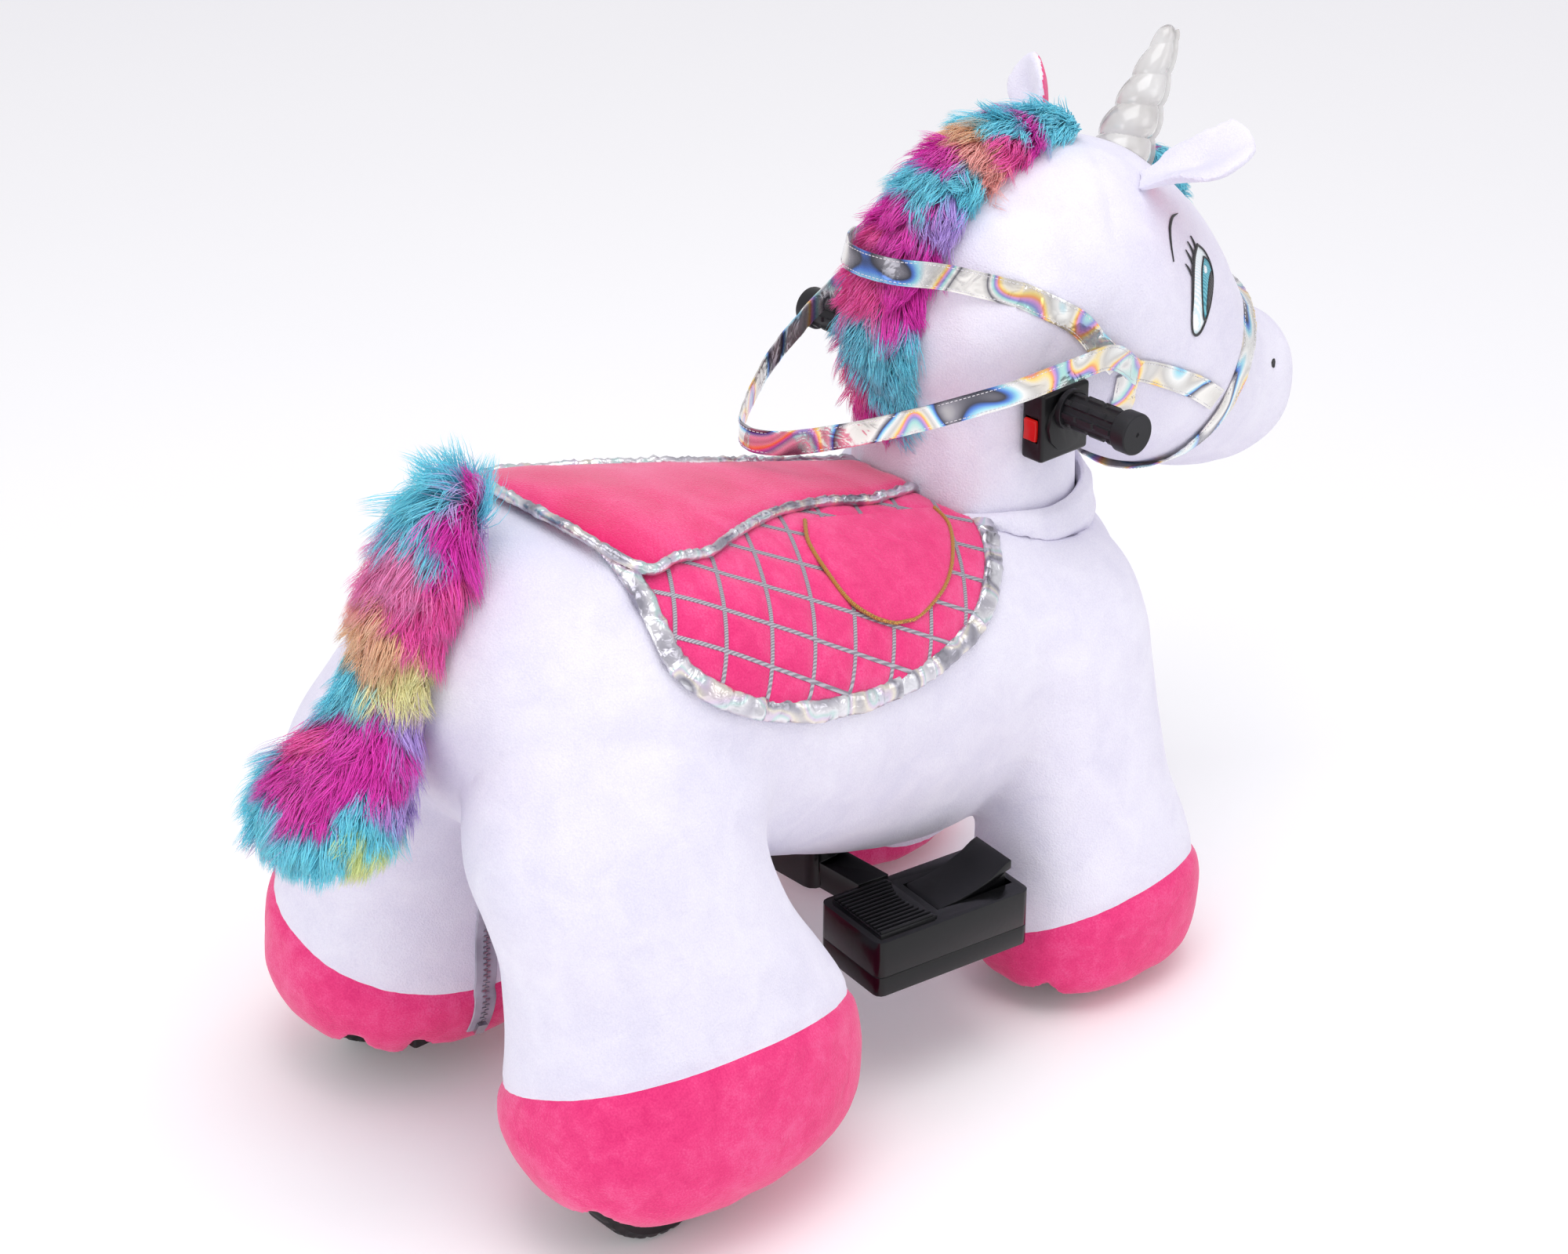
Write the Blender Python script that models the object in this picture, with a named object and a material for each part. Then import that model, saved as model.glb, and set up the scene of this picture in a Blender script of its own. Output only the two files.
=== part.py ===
"""Plush ride-on animal with a powered chassis, a horn, a saddle and a bridle.

Metres, +Z up. The animal faces -Y, its right side is -X, and it stands on z = 0.
The origin lies on the floor, under the middle of the whole toy.
"""

import math

import bmesh
import bpy
from mathutils import Matrix, Vector
from mathutils.bvhtree import BVHTree

# Clearances
GAP = 0.0003            # between two pieces that touch
RUNNING = 0.0006        # around a piece that turns
OVERRUN = 0.02          # how far a cutter runs past what it cuts
ROOM = 0.003            # free space around the mechanism inside the plush

# Driving sizes of the plush
TORSO_LENGTH = 0.665
TORSO_HEIGHT = 0.310
TORSO_WIDTH = 0.340
TORSO_FRONT_Y = -0.263
TORSO_BASE_Z = 0.195
BELLY_DROP = 0.075      # how far the belly hangs below the flanks

HEAD_LENGTH = 0.455
HEAD_HEIGHT = 0.335
HEAD_WIDTH = 0.220
HEAD_FRONT_Y = -0.512
HEAD_BASE_Z = 0.333

NECK_RADIUS = 0.090
NECK_BASE_Z = 0.385
NECK_HEIGHT = 0.110
COLLAR_THICKNESS = 0.016
COLLAR_HEIGHT = 0.050

REAR_LEG_X = 0.148
REAR_LEG_Y = 0.281
REAR_LEG_WIDTH = 0.210
REAR_LEG_DEPTH = 0.280
REAR_LEG_HEIGHT = 0.460
REAR_HEM_Z = 0.034
REAR_SEAM_Z = 0.135
REAR_SEAM_OUTWARD_SHARE = 0.38
REAR_SEAM_REARWARD_SHARE = 0.0

FRONT_LEG_X = 0.132
FRONT_LEG_Y = -0.163
FRONT_LEG_WIDTH = 0.160
FRONT_LEG_DEPTH = 0.194
FRONT_LEG_HEIGHT = 0.395
FRONT_SEAM_Z = 0.083
FRONT_SEAM_OUTWARD_SHARE = 0.50
FRONT_SEAM_REARWARD_SHARE = -0.25

# Running gear
STEER_Y = -0.145
REAR_AXLE_Y = 0.326
REAR_WHEEL_RADIUS = 0.065
FRONT_WHEEL_RADIUS = 0.050
WHEEL_WIDTH = 0.036
WHEEL_SHOULDER = 0.006
HUB_RADIUS = 0.017
RIM_DEPTH = 0.008
TYRE_DEPTH = 0.016
REAR_WHEEL_X = 0.170
FRONT_WHEEL_X = 0.142
STUB_RADIUS = 0.005
KINGPIN_X = 0.112
KINGPIN_RADIUS = 0.007
KINGPIN_TOP = 0.3025
STEER_ARM = 0.045
STEER_ARM_THICKNESS = 0.008
STEER_ARM_WIDTH = 0.014
STEER_PIN_RADIUS = 0.004
STEER_LOCK = math.radians(15)

# Frame
SPINE_Z = 0.330
SPINE_RADIUS = 0.0125
CROSS_RADIUS = 0.011
FRONT_CROSS_Z = 0.283
HEAD_TUBE_WALL = 0.004
HEAD_TUBE_BASE = 0.250
HEAD_TUBE_TOP = 0.372
STEER_ARM_Z = HEAD_TUBE_BASE - 2 * STEER_ARM_THICKNESS
COLUMN_RADIUS = 0.0105
POST_X = 0.112
POST_RADIUS = 0.010

# Handlebar
BAR_Z = 0.492
BAR_RADIUS = 0.009
GRIP_START = 0.108
GRIP_LENGTH = 0.070
GRIP_RADIUS = 0.0145
FLANGE_RADIUS = 0.0165
FLANGE_LENGTH = 0.010
HOUSING_THICKNESS = 0.022
HOUSING_DEPTH = 0.052
HOUSING_HEIGHT = 0.056
SWITCH_WIDTH = 0.012
SWITCH_HEIGHT = 0.018
SWITCH_THICKNESS = 0.007
SWITCH_POCKET = 0.004
COVER_RADIUS = 0.0215
COVER_THICKNESS = 0.003
HOUSING_DROP = 0.012     # the housing's middle below the bar's
HOUSING_Z = BAR_Z - HOUSING_DROP

# Drive and electrics
GEAR_LOW_X = 0.074
GEAR_HIGH_X = 0.1015
GEAR_HALF = 0.042
GEAR_STEP = 0.006
GEAR_BASE_Z = 0.046
GEAR_TOP = 0.122
MOTOR_RADIUS = 0.0135
MOTOR_TOP = 0.185
BATTERY_WIDTH = 0.070
BATTERY_LENGTH = 0.100
BATTERY_HEIGHT = 0.047
BATTERY_Y = 0.145
TRAY_WALL = 0.002
CONTROL_WIDTH = 0.060
CONTROL_LENGTH = 0.080
CONTROL_Y = -0.025
CONTROL_BASE_Z = 0.290
PANEL_THICKNESS = 0.008
CAVITY_WIDTH = 0.150
BELLY_FRONT_Y = -0.082

# Pedal box and foot rest
BOX_WIDTH = 0.078
BOX_DEPTH = 0.144
BOX_HEIGHT = 0.0476
BOX_X = 0.146
BOX_Y = 0.033
BOX_BASE_Z = 0.101
FOOT_TURN = math.radians(8)     # the toes of both foot rests point outward
BOX_SPLIT_SHARE = 0.36
BOX_CORNER = 0.007
PEDAL_WIDTH = 0.044
PEDAL_LENGTH = 0.066
PEDAL_THICKNESS = 0.007
PEDAL_RISE = 0.020
PEDAL_BARREL_RADIUS = 0.0045
PEDAL_PIN_RADIUS = 0.0025
PEDAL_PIN_REACH = 0.004
POCKET_MARGIN = 0.006
POCKET_DEPTH = 0.016
PLATE_RISE = 0.003
BAR_WIDTH = 0.028
BAR_THICKNESS = 0.023
BAR_Y = 0.048
BAR_BASE_Z = 0.127
HANGER_WIDTH = 0.116
HANGER_DEPTH = 0.036
HANGER_CORNER = 0.010

# Trim
STRAP_WIDTH = 0.020
STRAP_THICKNESS = 0.0016
REIN_REACH = 0.212       # how far behind the steering axis the reins end
HORN_LENGTH = 0.104
HORN_RADIUS = 0.026
EAR_LENGTH = 0.100
EAR_WIDTH = 0.052
EAR_THICKNESS = 0.014
PAD_THICKNESS = 0.005
SEAT_THICKNESS = 0.007
FLAP_THICKNESS = 0.003
MANE_WIDTH = 0.070
MANE_DEPTH = 0.056
TAIL_LENGTH = 0.360
TAIL_RADIUS = 0.054

PARTS = None
CUTTERS = None


def start():
    """Empty the scene and make the two collections."""
    global PARTS, CUTTERS
    for obj in list(bpy.data.objects):
        bpy.data.objects.remove(obj)
    PARTS = bpy.data.collections.new("plush_ride_on_animal")
    CUTTERS = bpy.data.collections.new("cutters")
    bpy.context.scene.collection.children.link(PARTS)
    bpy.context.scene.collection.children.link(CUTTERS)


# Materials
def material(name, colour, roughness, metallic=0.0):
    mat = bpy.data.materials.get(name) or bpy.data.materials.new(name)
    mat.use_nodes = True
    shader = mat.node_tree.nodes["Principled BSDF"]
    shader.inputs["Base Color"].default_value = (*colour, 1.0)
    shader.inputs["Roughness"].default_value = roughness
    shader.inputs["Metallic"].default_value = metallic
    mat.diffuse_color = (*colour, 1.0)
    return mat


def white_plush():
    return material("white_plush", (0.86, 0.85, 0.93), 0.95)


def pink_plush():
    return material("pink_plush", (0.78, 0.06, 0.22), 0.95)


def rainbow_fur():
    return material("rainbow_fur", (0.75, 0.20, 0.62), 0.95)


def silver_strap():
    return material("silver_strap", (0.72, 0.73, 0.76), 0.25, 0.8)


def black_plastic():
    return material("black_plastic", (0.02, 0.02, 0.02), 0.35)


def black_steel():
    return material("black_steel", (0.03, 0.03, 0.03), 0.45, 0.6)


# Mesh helpers
def add(name, mesh_builder, mat, cutter=False):
    """Make one object from a bmesh that the builder fills."""
    bm = bmesh.new()
    mesh_builder(bm)
    bmesh.ops.recalc_face_normals(bm, faces=bm.faces)
    mesh = bpy.data.meshes.new(name)
    bm.to_mesh(mesh)
    bm.free()
    obj = bpy.data.objects.new(name, mesh)
    if cutter:
        CUTTERS.objects.link(obj)
        obj.hide_render = True
        obj.display_type = "WIRE"
    else:
        PARTS.objects.link(obj)
        mesh.materials.append(mat)
        mesh.shade_smooth()
        mesh.set_sharp_from_angle(angle=math.radians(40))
    return obj


def cut(obj, *cutters, operation="DIFFERENCE"):
    for cutter in cutters:
        mod = obj.modifiers.new(cutter.name, "BOOLEAN")
        mod.operation = operation
        mod.object = cutter
    return obj


def fill_box(bm, low, high):
    low, high = Vector(low), Vector(high)
    size = high - low
    place = Matrix.Translation((low + high) / 2) @ Matrix.Diagonal((*size, 1.0))
    return bmesh.ops.create_cube(bm, size=1.0, matrix=place)["verts"]


def box(name, low, high, mat=None, cutter=False):
    return add(name, lambda bm: fill_box(bm, low, high), mat, cutter)


def fill_rod(bm, start_point, end_point, radius, end_radius=None, sides=12):
    """A cylinder or cone between two points."""
    a, b = Vector(start_point), Vector(end_point)
    turn = Vector((0, 0, 1)).rotation_difference((b - a).normalized()).to_matrix().to_4x4()
    place = Matrix.Translation((a + b) / 2) @ turn
    bmesh.ops.create_cone(
        bm, cap_ends=True, segments=sides, radius1=radius,
        radius2=radius if end_radius is None else end_radius,
        depth=(b - a).length, matrix=place,
    )


def rod(name, start_point, end_point, radius, mat=None, end_radius=None, sides=12, cutter=False):
    return add(
        name,
        lambda bm: fill_rod(bm, start_point, end_point, radius, end_radius, sides),
        mat, cutter,
    )


def fill_turned(bm, profile, axis_start, axis_end, sides=12):
    """A closed ring turned about an axis: the profile's points are (distance along, radius)."""
    a, b = Vector(axis_start), Vector(axis_end)
    turn = Vector((0, 0, 1)).rotation_difference((b - a).normalized()).to_matrix()
    rings = []
    for along, radius in profile:
        ring = []
        for k in range(sides):
            angle = 2 * math.pi * k / sides
            local = Vector((radius * math.cos(angle), radius * math.sin(angle), along))
            ring.append(bm.verts.new(a + turn @ local))
        rings.append(ring)
    for i, ring in enumerate(rings):
        after = rings[(i + 1) % len(rings)]
        for k in range(sides):
            n = (k + 1) % sides
            bm.faces.new((ring[k], ring[n], after[n], after[k]))


def turned(name, profile, axis_start, axis_end, mat, sides=12, cutter=False):
    return add(name, lambda bm: fill_turned(bm, profile, axis_start, axis_end, sides), mat, cutter)


def fill_loft(bm, rings):
    """Skin a stack of rings with as many points each, and cap both ends."""
    rows = [[bm.verts.new(p) for p in ring] for ring in rings]
    count = len(rows[0])
    for row, after in zip(rows, rows[1:]):
        for k in range(count):
            n = (k + 1) % count
            bm.faces.new((row[k], row[n], after[n], after[k]))
    bm.faces.new(rows[0])
    bm.faces.new(list(reversed(rows[-1])))


def loft(name, rings, mat=None, cutter=False):
    return add(name, lambda bm: fill_loft(bm, rings), mat, cutter)


def smooth_rows(rows, steps):
    """Rows read from a smooth curve through the given rows, steps to a span."""
    fine = []
    last = len(rows) - 1
    for i in range(last):
        p0, p1 = rows[max(i - 1, 0)], rows[i]
        p2, p3 = rows[i + 1], rows[min(i + 2, last)]
        for s in range(steps):
            t = s / steps
            fine.append(tuple(
                0.5 * (2 * b + (c - a) * t + (2 * a - 5 * b + 4 * c - d) * t * t
                       + (3 * b - a - 3 * c + d) * t * t * t)
                for a, b, c, d in zip(p0, p1, p2, p3)
            ))
    fine.append(tuple(rows[last]))
    return fine


def oval(angle, half_width, half_height, squareness):
    """A point of a superellipse."""
    power = 2 / squareness
    c, s = math.cos(angle), math.sin(angle)
    return (
        half_width * math.copysign(abs(c) ** power, c),
        half_height * math.copysign(abs(s) ** power, s),
    )


# Torso: rows of shares along the body, from the chest to the rump
# (place along the length, low edge, top edge, width, belly's drop)
TORSO_SHARES = [
    (0.000, 0.31, 0.44, 0.16, 0.00),
    (0.020, 0.18, 0.55, 0.43, 0.00),
    (0.060, 0.10, 0.61, 0.64, 0.10),
    (0.120, 0.04, 0.655, 0.765, 0.40),
    (0.200, 0.02, 0.69, 0.855, 0.80),
    (0.300, 0.01, 0.725, 0.90, 1.00),
    (0.400, 0.02, 0.775, 0.935, 0.93),
    (0.500, 0.03, 0.83, 0.97, 0.70),
    (0.600, 0.055, 0.885, 0.995, 0.42),
    (0.700, 0.08, 0.94, 1.00, 0.18),
    (0.790, 0.11, 0.985, 0.975, 0.04),
    (0.860, 0.155, 0.99, 0.90, 0.00),
    (0.915, 0.215, 0.945, 0.78, 0.00),
    (0.955, 0.305, 0.86, 0.62, 0.00),
    (0.980, 0.40, 0.77, 0.42, 0.00),
    (1.000, 0.50, 0.67, 0.15, 0.00),
]
TORSO_SQUARENESS_SHARE = 2.15
TORSO_SIDES = 20


def row_at(table, place):
    """The table's row at one place along it, by a smooth curve."""
    last = len(table) - 1
    place = min(max(place, table[0][0]), table[last][0])
    i = max(k for k in range(last) if table[k][0] <= place)
    p0, p1 = table[max(i - 1, 0)], table[i]
    p2, p3 = table[i + 1], table[min(i + 2, last)]
    t = (place - p1[0]) / (p2[0] - p1[0])
    row = []
    for a, b, c, d in zip(p0, p1, p2, p3):
        row.append(0.5 * (2 * b + (c - a) * t + (2 * a - 5 * b + 4 * c - d) * t * t
                          + (3 * b - a - 3 * c + d) * t * t * t))
    return row


def torso_oval(angle, row, grow=0.0):
    """A point (x, z) of the torso's section: the belly hangs deeper than the back rises."""
    _, low, top, width, belly = row
    half_height = (top - low) / 2 * TORSO_HEIGHT + grow
    x, z = oval(angle, width * TORSO_WIDTH / 2 + grow, half_height, TORSO_SQUARENESS_SHARE)
    if z < 0:
        z *= (half_height + max(belly, 0) * BELLY_DROP) / half_height
    return x, TORSO_BASE_Z + (low + top) / 2 * TORSO_HEIGHT + z


def torso_point(y, angle, grow=0.0):
    """A point on the torso at y, the angle taken from the top towards +X."""
    row = row_at(TORSO_SHARES, (y - TORSO_FRONT_Y) / TORSO_LENGTH)
    x, z = torso_oval(math.pi / 2 - angle, row, grow)
    return Vector((x, y, z))


def torso_rings(grow=0.0):
    rings = []
    for row in smooth_rows(TORSO_SHARES, 2):
        y = TORSO_FRONT_Y + row[0] * TORSO_LENGTH + grow * (2 * row[0] - 1)
        ring = []
        for k in range(TORSO_SIDES):
            x, z = torso_oval(2 * math.pi * k / TORSO_SIDES, row, grow)
            ring.append(Vector((x, y, z)))
        rings.append(ring)
    return rings


# Limbs: rows of shares up the limb
# (height, place across, place along, width, depth), the places as shares of the width and depth
REAR_LIMB_SHARES = [
    (0.082, 0.00, 0.02, 0.71, 0.72),
    (0.104, 0.00, 0.01, 0.85, 0.85),
    (0.145, 0.00, 0.00, 0.955, 0.95),
    (0.200, 0.00, 0.00, 1.00, 1.00),
    (0.250, 0.00, 0.00, 0.99, 0.99),
    (0.320, 0.01, 0.005, 0.945, 0.95),
    (0.400, 0.05, 0.026, 0.89, 0.858),
    (0.490, 0.10, 0.060, 0.86, 0.771),
    (0.620, 0.18, 0.093, 0.86, 0.794),
    (0.720, 0.25, 0.020, 0.84, 0.862),
    (0.830, 0.32, -0.08, 0.74, 0.84),
    (0.930, 0.38, -0.14, 0.52, 0.66),
    (1.000, 0.40, -0.18, 0.22, 0.34),
]
FRONT_LIMB_SHARES = [
    (0.046, 0.00, 0.00, 0.86, 0.88),
    (0.078, 0.00, 0.00, 0.95, 0.96),
    (0.140, 0.00, 0.00, 1.00, 1.00),
    (0.220, 0.00, 0.00, 1.00, 0.99),
    (0.330, 0.03, 0.01, 0.94, 0.91),
    (0.460, 0.10, 0.04, 0.90, 0.85),
    (0.660, 0.23, 0.06, 0.93, 0.85),
    (0.770, 0.29, 0.09, 0.98, 0.90),
    (0.880, 0.38, 0.12, 0.92, 0.90),
    (0.960, 0.48, 0.15, 0.68, 0.72),
    (1.000, 0.52, 0.17, 0.36, 0.40),
]
LIMB_SQUARENESS_SHARE = 2.3
LIMB_SIDES = 18


def limb_rings(shares, side, x, y, width, depth, height):
    rings = []
    for up, across, along, wide, deep in shares:
        centre = Vector((side * (x - across * width), y + along * depth, up * height))
        ring = []
        for k in range(LIMB_SIDES):
            dx, dy = oval(2 * math.pi * k / LIMB_SIDES, wide * width / 2, deep * depth / 2,
                          LIMB_SQUARENESS_SHARE)
            ring.append(centre + Vector((-side * dx, dy, 0)))
        rings.append(ring)
    return rings


def limb_pieces(name, side, rings, seam_point, outward, rearward):
    """Split one limb at its sloping seam into the leg above and the hoof below."""
    normal = Vector((-side * outward, -rearward, 1)).normalized()
    pieces = []
    for upper in (True, False):
        def build(bm, upper=upper):
            fill_loft(bm, rings)
            offset = normal * (GAP / 2 if upper else -GAP / 2)
            cutres = bmesh.ops.bisect_plane(
                bm, geom=bm.verts[:] + bm.edges[:] + bm.faces[:],
                plane_co=Vector(seam_point) + offset, plane_no=normal,
                clear_inner=upper, clear_outer=not upper,
            )
            edges = [e for e in cutres["geom_cut"] if isinstance(e, bmesh.types.BMEdge)]
            bmesh.ops.contextual_create(bm, geom=edges)
        piece_name = ("leg_" if upper else "hoof_") + name
        pieces.append(add(piece_name, build, white_plush() if upper else pink_plush()))
    return pieces


# Head: rows of shares from the muzzle to the nape
# (place along the length, low edge, top edge, width)
HEAD_SHARES = [
    (0.000, 0.15, 0.25, 0.14),
    (0.015, 0.085, 0.31, 0.32),
    (0.050, 0.035, 0.365, 0.46),
    (0.100, 0.010, 0.395, 0.535),
    (0.160, 0.000, 0.45, 0.59),
    (0.215, 0.010, 0.545, 0.67),
    (0.270, 0.025, 0.66, 0.78),
    (0.355, 0.060, 0.81, 0.91),
    (0.465, 0.120, 0.925, 0.99),
    (0.575, 0.220, 0.975, 1.00),
    (0.685, 0.320, 0.995, 0.97),
    (0.795, 0.370, 0.965, 0.90),
    (0.880, 0.390, 0.905, 0.79),
    (0.945, 0.420, 0.81, 0.61),
    (0.985, 0.480, 0.71, 0.37),
    (1.000, 0.530, 0.65, 0.16),
]
HEAD_SQUARENESS_SHARE = 2.1
HEAD_SIDES = 20


def head_section(place):
    _, low, top, width = row_at(HEAD_SHARES, place)
    middle = HEAD_BASE_Z + (low + top) / 2 * HEAD_HEIGHT
    return middle, width * HEAD_WIDTH / 2, (top - low) / 2 * HEAD_HEIGHT


def head_point(y, angle, grow=0.0):
    """A point on the head at y, the angle taken from the top towards +X."""
    middle, half_width, half_height = head_section((y - HEAD_FRONT_Y) / HEAD_LENGTH)
    x, z = oval(math.pi / 2 - angle, half_width + grow, half_height + grow, HEAD_SQUARENESS_SHARE)
    return Vector((x, y, middle + z))


def head_rings(grow=0.0):
    rings = []
    for place, low, top, width in smooth_rows(HEAD_SHARES, 2):
        middle = HEAD_BASE_Z + (low + top) / 2 * HEAD_HEIGHT
        half_height = (top - low) / 2 * HEAD_HEIGHT + grow
        half_width = width * HEAD_WIDTH / 2 + grow
        y = HEAD_FRONT_Y + place * HEAD_LENGTH + grow * (2 * place - 1)
        ring = []
        for k in range(HEAD_SIDES):
            x, z = oval(2 * math.pi * k / HEAD_SIDES, half_width, half_height, HEAD_SQUARENESS_SHARE)
            ring.append(Vector((x, y, middle + z)))
        rings.append(ring)
    return rings


def neck_rings(grow=0.0):
    shares = [(0.0, 1.0), (0.25, 1.0), (0.5, 0.99), (0.8, 0.97), (1.0, 0.92)]
    rings = []
    for up, wide in shares:
        radius = wide * NECK_RADIUS + grow
        z = NECK_BASE_Z + up * NECK_HEIGHT
        z += grow * (2 * up - 1)
        rings.append([
            Vector((radius * math.cos(2 * math.pi * k / HEAD_SIDES),
                    STEER_Y + radius * math.sin(2 * math.pi * k / HEAD_SIDES), z))
            for k in range(HEAD_SIDES)
        ])
    return rings


def patch(name, point, rows, mat, low, high):
    """A closed sheet on a curved body.

    point(y, angle, grow) gives the body's surface, rows holds rows of (y, angle),
    and the sheet fills the space from low to high above the surface.
    """
    def build(bm):
        lower = [[bm.verts.new(point(y, a, low)) for y, a in row] for row in rows]
        upper = [[bm.verts.new(point(y, a, high)) for y, a in row] for row in rows]
        for level in (lower, upper):
            for r in range(len(rows) - 1):
                for c in range(len(rows[0]) - 1):
                    bm.faces.new((level[r][c], level[r][c + 1], level[r + 1][c + 1], level[r + 1][c]))
        last_row, last_col = len(rows) - 1, len(rows[0]) - 1
        rim = [(0, c) for c in range(last_col)]
        rim += [(r, last_col) for r in range(last_row)]
        rim += [(last_row, c) for c in range(last_col, 0, -1)]
        rim += [(r, 0) for r in range(last_row, 0, -1)]
        for (r0, c0), (r1, c1) in zip(rim, rim[1:] + rim[:1]):
            bm.faces.new((lower[r0][c0], lower[r1][c1], upper[r1][c1], upper[r0][c0]))
    return add(name, build, mat)


def strap(name, path, outward, width, thickness, mat, closed=False, grow=0.0, cutter=False):
    """A flat strap along a path: outward gives the direction its face looks at each point."""
    def build(bm):
        rows = []
        count = len(path)
        for i, point in enumerate(path):
            before = path[(i - 1) % count] if closed or i else path[i]
            after = path[(i + 1) % count] if closed or i < count - 1 else path[i]
            along = (after - before).normalized()
            face = outward[i] - outward[i].dot(along) * along
            face.normalize()
            across = along.cross(face)
            half = width / 2 + grow
            inner = point - face * grow
            outer = point + face * (thickness + grow)
            rows.append([bm.verts.new(p) for p in (
                inner - across * half, inner + across * half,
                outer + across * half, outer - across * half,
            )])
        spans = list(zip(rows, rows[1:] + rows[:1])) if closed else list(zip(rows, rows[1:]))
        for row, after in spans:
            for k in range(4):
                n = (k + 1) % 4
                bm.faces.new((row[k], row[n], after[n], after[k]))
        if not closed:
            bm.faces.new(rows[0])
            bm.faces.new(list(reversed(rows[-1])))
    return add(name, build, mat, cutter)


def sausage_rings(points, half_widths, half_depths, sides, grow=0.0):
    """Oval rings along a path in the plane x = 0."""
    rings = []
    for i, point in enumerate(points):
        before, after = points[max(i - 1, 0)], points[min(i + 1, len(points) - 1)]
        along = (after - before).normalized()
        across = Vector((1, 0, 0))
        out = along.cross(across)
        ring = []
        for k in range(sides):
            u, v = oval(2 * math.pi * k / sides, half_widths[i] + grow, half_depths[i] + grow, 2.0)
            ring.append(point + across * u + out * v)
        rings.append(ring)
    return rings


def spine_space():
    return rod("spine_space", (0, STEER_Y, SPINE_Z), (0, REAR_AXLE_Y, SPINE_Z), SPINE_RADIUS + GAP,
               cutter=True)


# The space that the mechanism needs inside the plush
def mechanism_cutters():
    """Boxes and rods that hollow the torso, the legs and the hooves."""
    shared = []
    torso_only = []
    limb_only = []
    wheel_room = 0.008
    cavity_half = CAVITY_WIDTH / 2
    cavity_top = SPINE_Z + SPINE_RADIUS / 2
    low = TORSO_BASE_Z - BELLY_DROP - OVERRUN
    torso_only.append(box("cavity_main", (-cavity_half, BELLY_FRONT_Y, low),
                          (cavity_half, REAR_AXLE_Y - 4 * POST_RADIUS, cavity_top), cutter=True))
    reach = KINGPIN_X + (STEER_ARM + STEER_ARM_WIDTH / 2) * math.sin(STEER_LOCK)
    reach += STEER_ARM_WIDTH / 2 * math.cos(STEER_LOCK) + ROOM
    arms_low = STEER_ARM_Z - 2.5 * STEER_ARM_THICKNESS
    shared.append(box("cavity_front_cross", (-reach, STEER_Y - OVERRUN, arms_low),
                      (reach, STEER_Y + STEER_ARM + STEER_ARM_WIDTH, FRONT_CROSS_Z + 2 * CROSS_RADIUS),
                      cutter=True))
    torso_only.append(spine_space())
    torso_only.append(rod("cavity_column", (0, STEER_Y, arms_low),
                          (0, STEER_Y, NECK_BASE_Z + NECK_HEIGHT), COLUMN_RADIUS + HEAD_TUBE_WALL + ROOM,
                          cutter=True))
    cross_half = CROSS_RADIUS + ROOM
    end = POST_X + POST_RADIUS + ROOM
    shared.append(box("cavity_rear_cross", (-end, REAR_AXLE_Y - 5 * POST_RADIUS, SPINE_Z - cross_half),
                      (end, REAR_AXLE_Y + cross_half, SPINE_Z + cross_half), cutter=True))
    for side, word in ((1, "left"), (-1, "right")):
        xs = sorted((side * (POST_X - POST_RADIUS - ROOM), side * end))
        shared.append(box("cavity_rear_post_" + word,
                          (xs[0], REAR_AXLE_Y - POST_RADIUS - ROOM, REAR_HEM_Z),
                          (xs[1], REAR_AXLE_Y + POST_RADIUS + ROOM, SPINE_Z), cutter=True))
        rear_low = side * (POST_X - POST_RADIUS - ROOM)
        rear_high = side * (REAR_WHEEL_X + WHEEL_WIDTH / 2 + wheel_room)
        xs = sorted((rear_low, rear_high))
        span = REAR_WHEEL_RADIUS + wheel_room
        shared.append(box("well_rear_" + word, (xs[0], REAR_AXLE_Y - span, -OVERRUN),
                          (xs[1], REAR_AXLE_Y + span, 2 * REAR_WHEEL_RADIUS + wheel_room), cutter=True))
        shift = (FRONT_WHEEL_X - KINGPIN_X) * math.sin(STEER_LOCK)
        sweep = FRONT_WHEEL_RADIUS * math.cos(STEER_LOCK) + WHEEL_WIDTH / 2 * math.sin(STEER_LOCK)
        span = shift + sweep + ROOM
        out = FRONT_WHEEL_X - KINGPIN_X
        outer = KINGPIN_X + out * math.cos(STEER_LOCK) + FRONT_WHEEL_RADIUS * math.sin(STEER_LOCK)
        outer += WHEEL_WIDTH / 2 * math.cos(STEER_LOCK) + ROOM
        xs = sorted((side * (KINGPIN_X - 2 * KINGPIN_RADIUS - ROOM), side * outer))
        shared.append(box("well_front_" + word, (xs[0], STEER_Y - span, -OVERRUN),
                          (xs[1], STEER_Y + span, 2 * FRONT_WHEEL_RADIUS + wheel_room), cutter=True))
        shaft = 2 * KINGPIN_RADIUS + ROOM
        limb_only.append(box("cavity_front_kingpin_" + word,
                             (side * KINGPIN_X - shaft, STEER_Y - shaft, FRONT_WHEEL_RADIUS),
                             (side * KINGPIN_X + shaft, STEER_Y + shaft, KINGPIN_TOP + ROOM),
                             cutter=True))
        xs = sorted((side * (KINGPIN_X - shaft - ROOM), side * (reach + OVERRUN)))
        torso_only.append(box("notch_front_" + word, (xs[0], STEER_Y - OVERRUN - ROOM, FRONT_WHEEL_RADIUS),
                              (xs[1], STEER_Y + STEER_ARM + STEER_ARM_WIDTH + ROOM,
                               KINGPIN_TOP + 2 * ROOM), cutter=True))
    return shared, torso_only, limb_only


def shell_cutter():
    """What lies deeper in the torso than the belly panel."""
    return loft("torso_core", torso_rings(-PANEL_THICKNESS), cutter=True)


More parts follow.
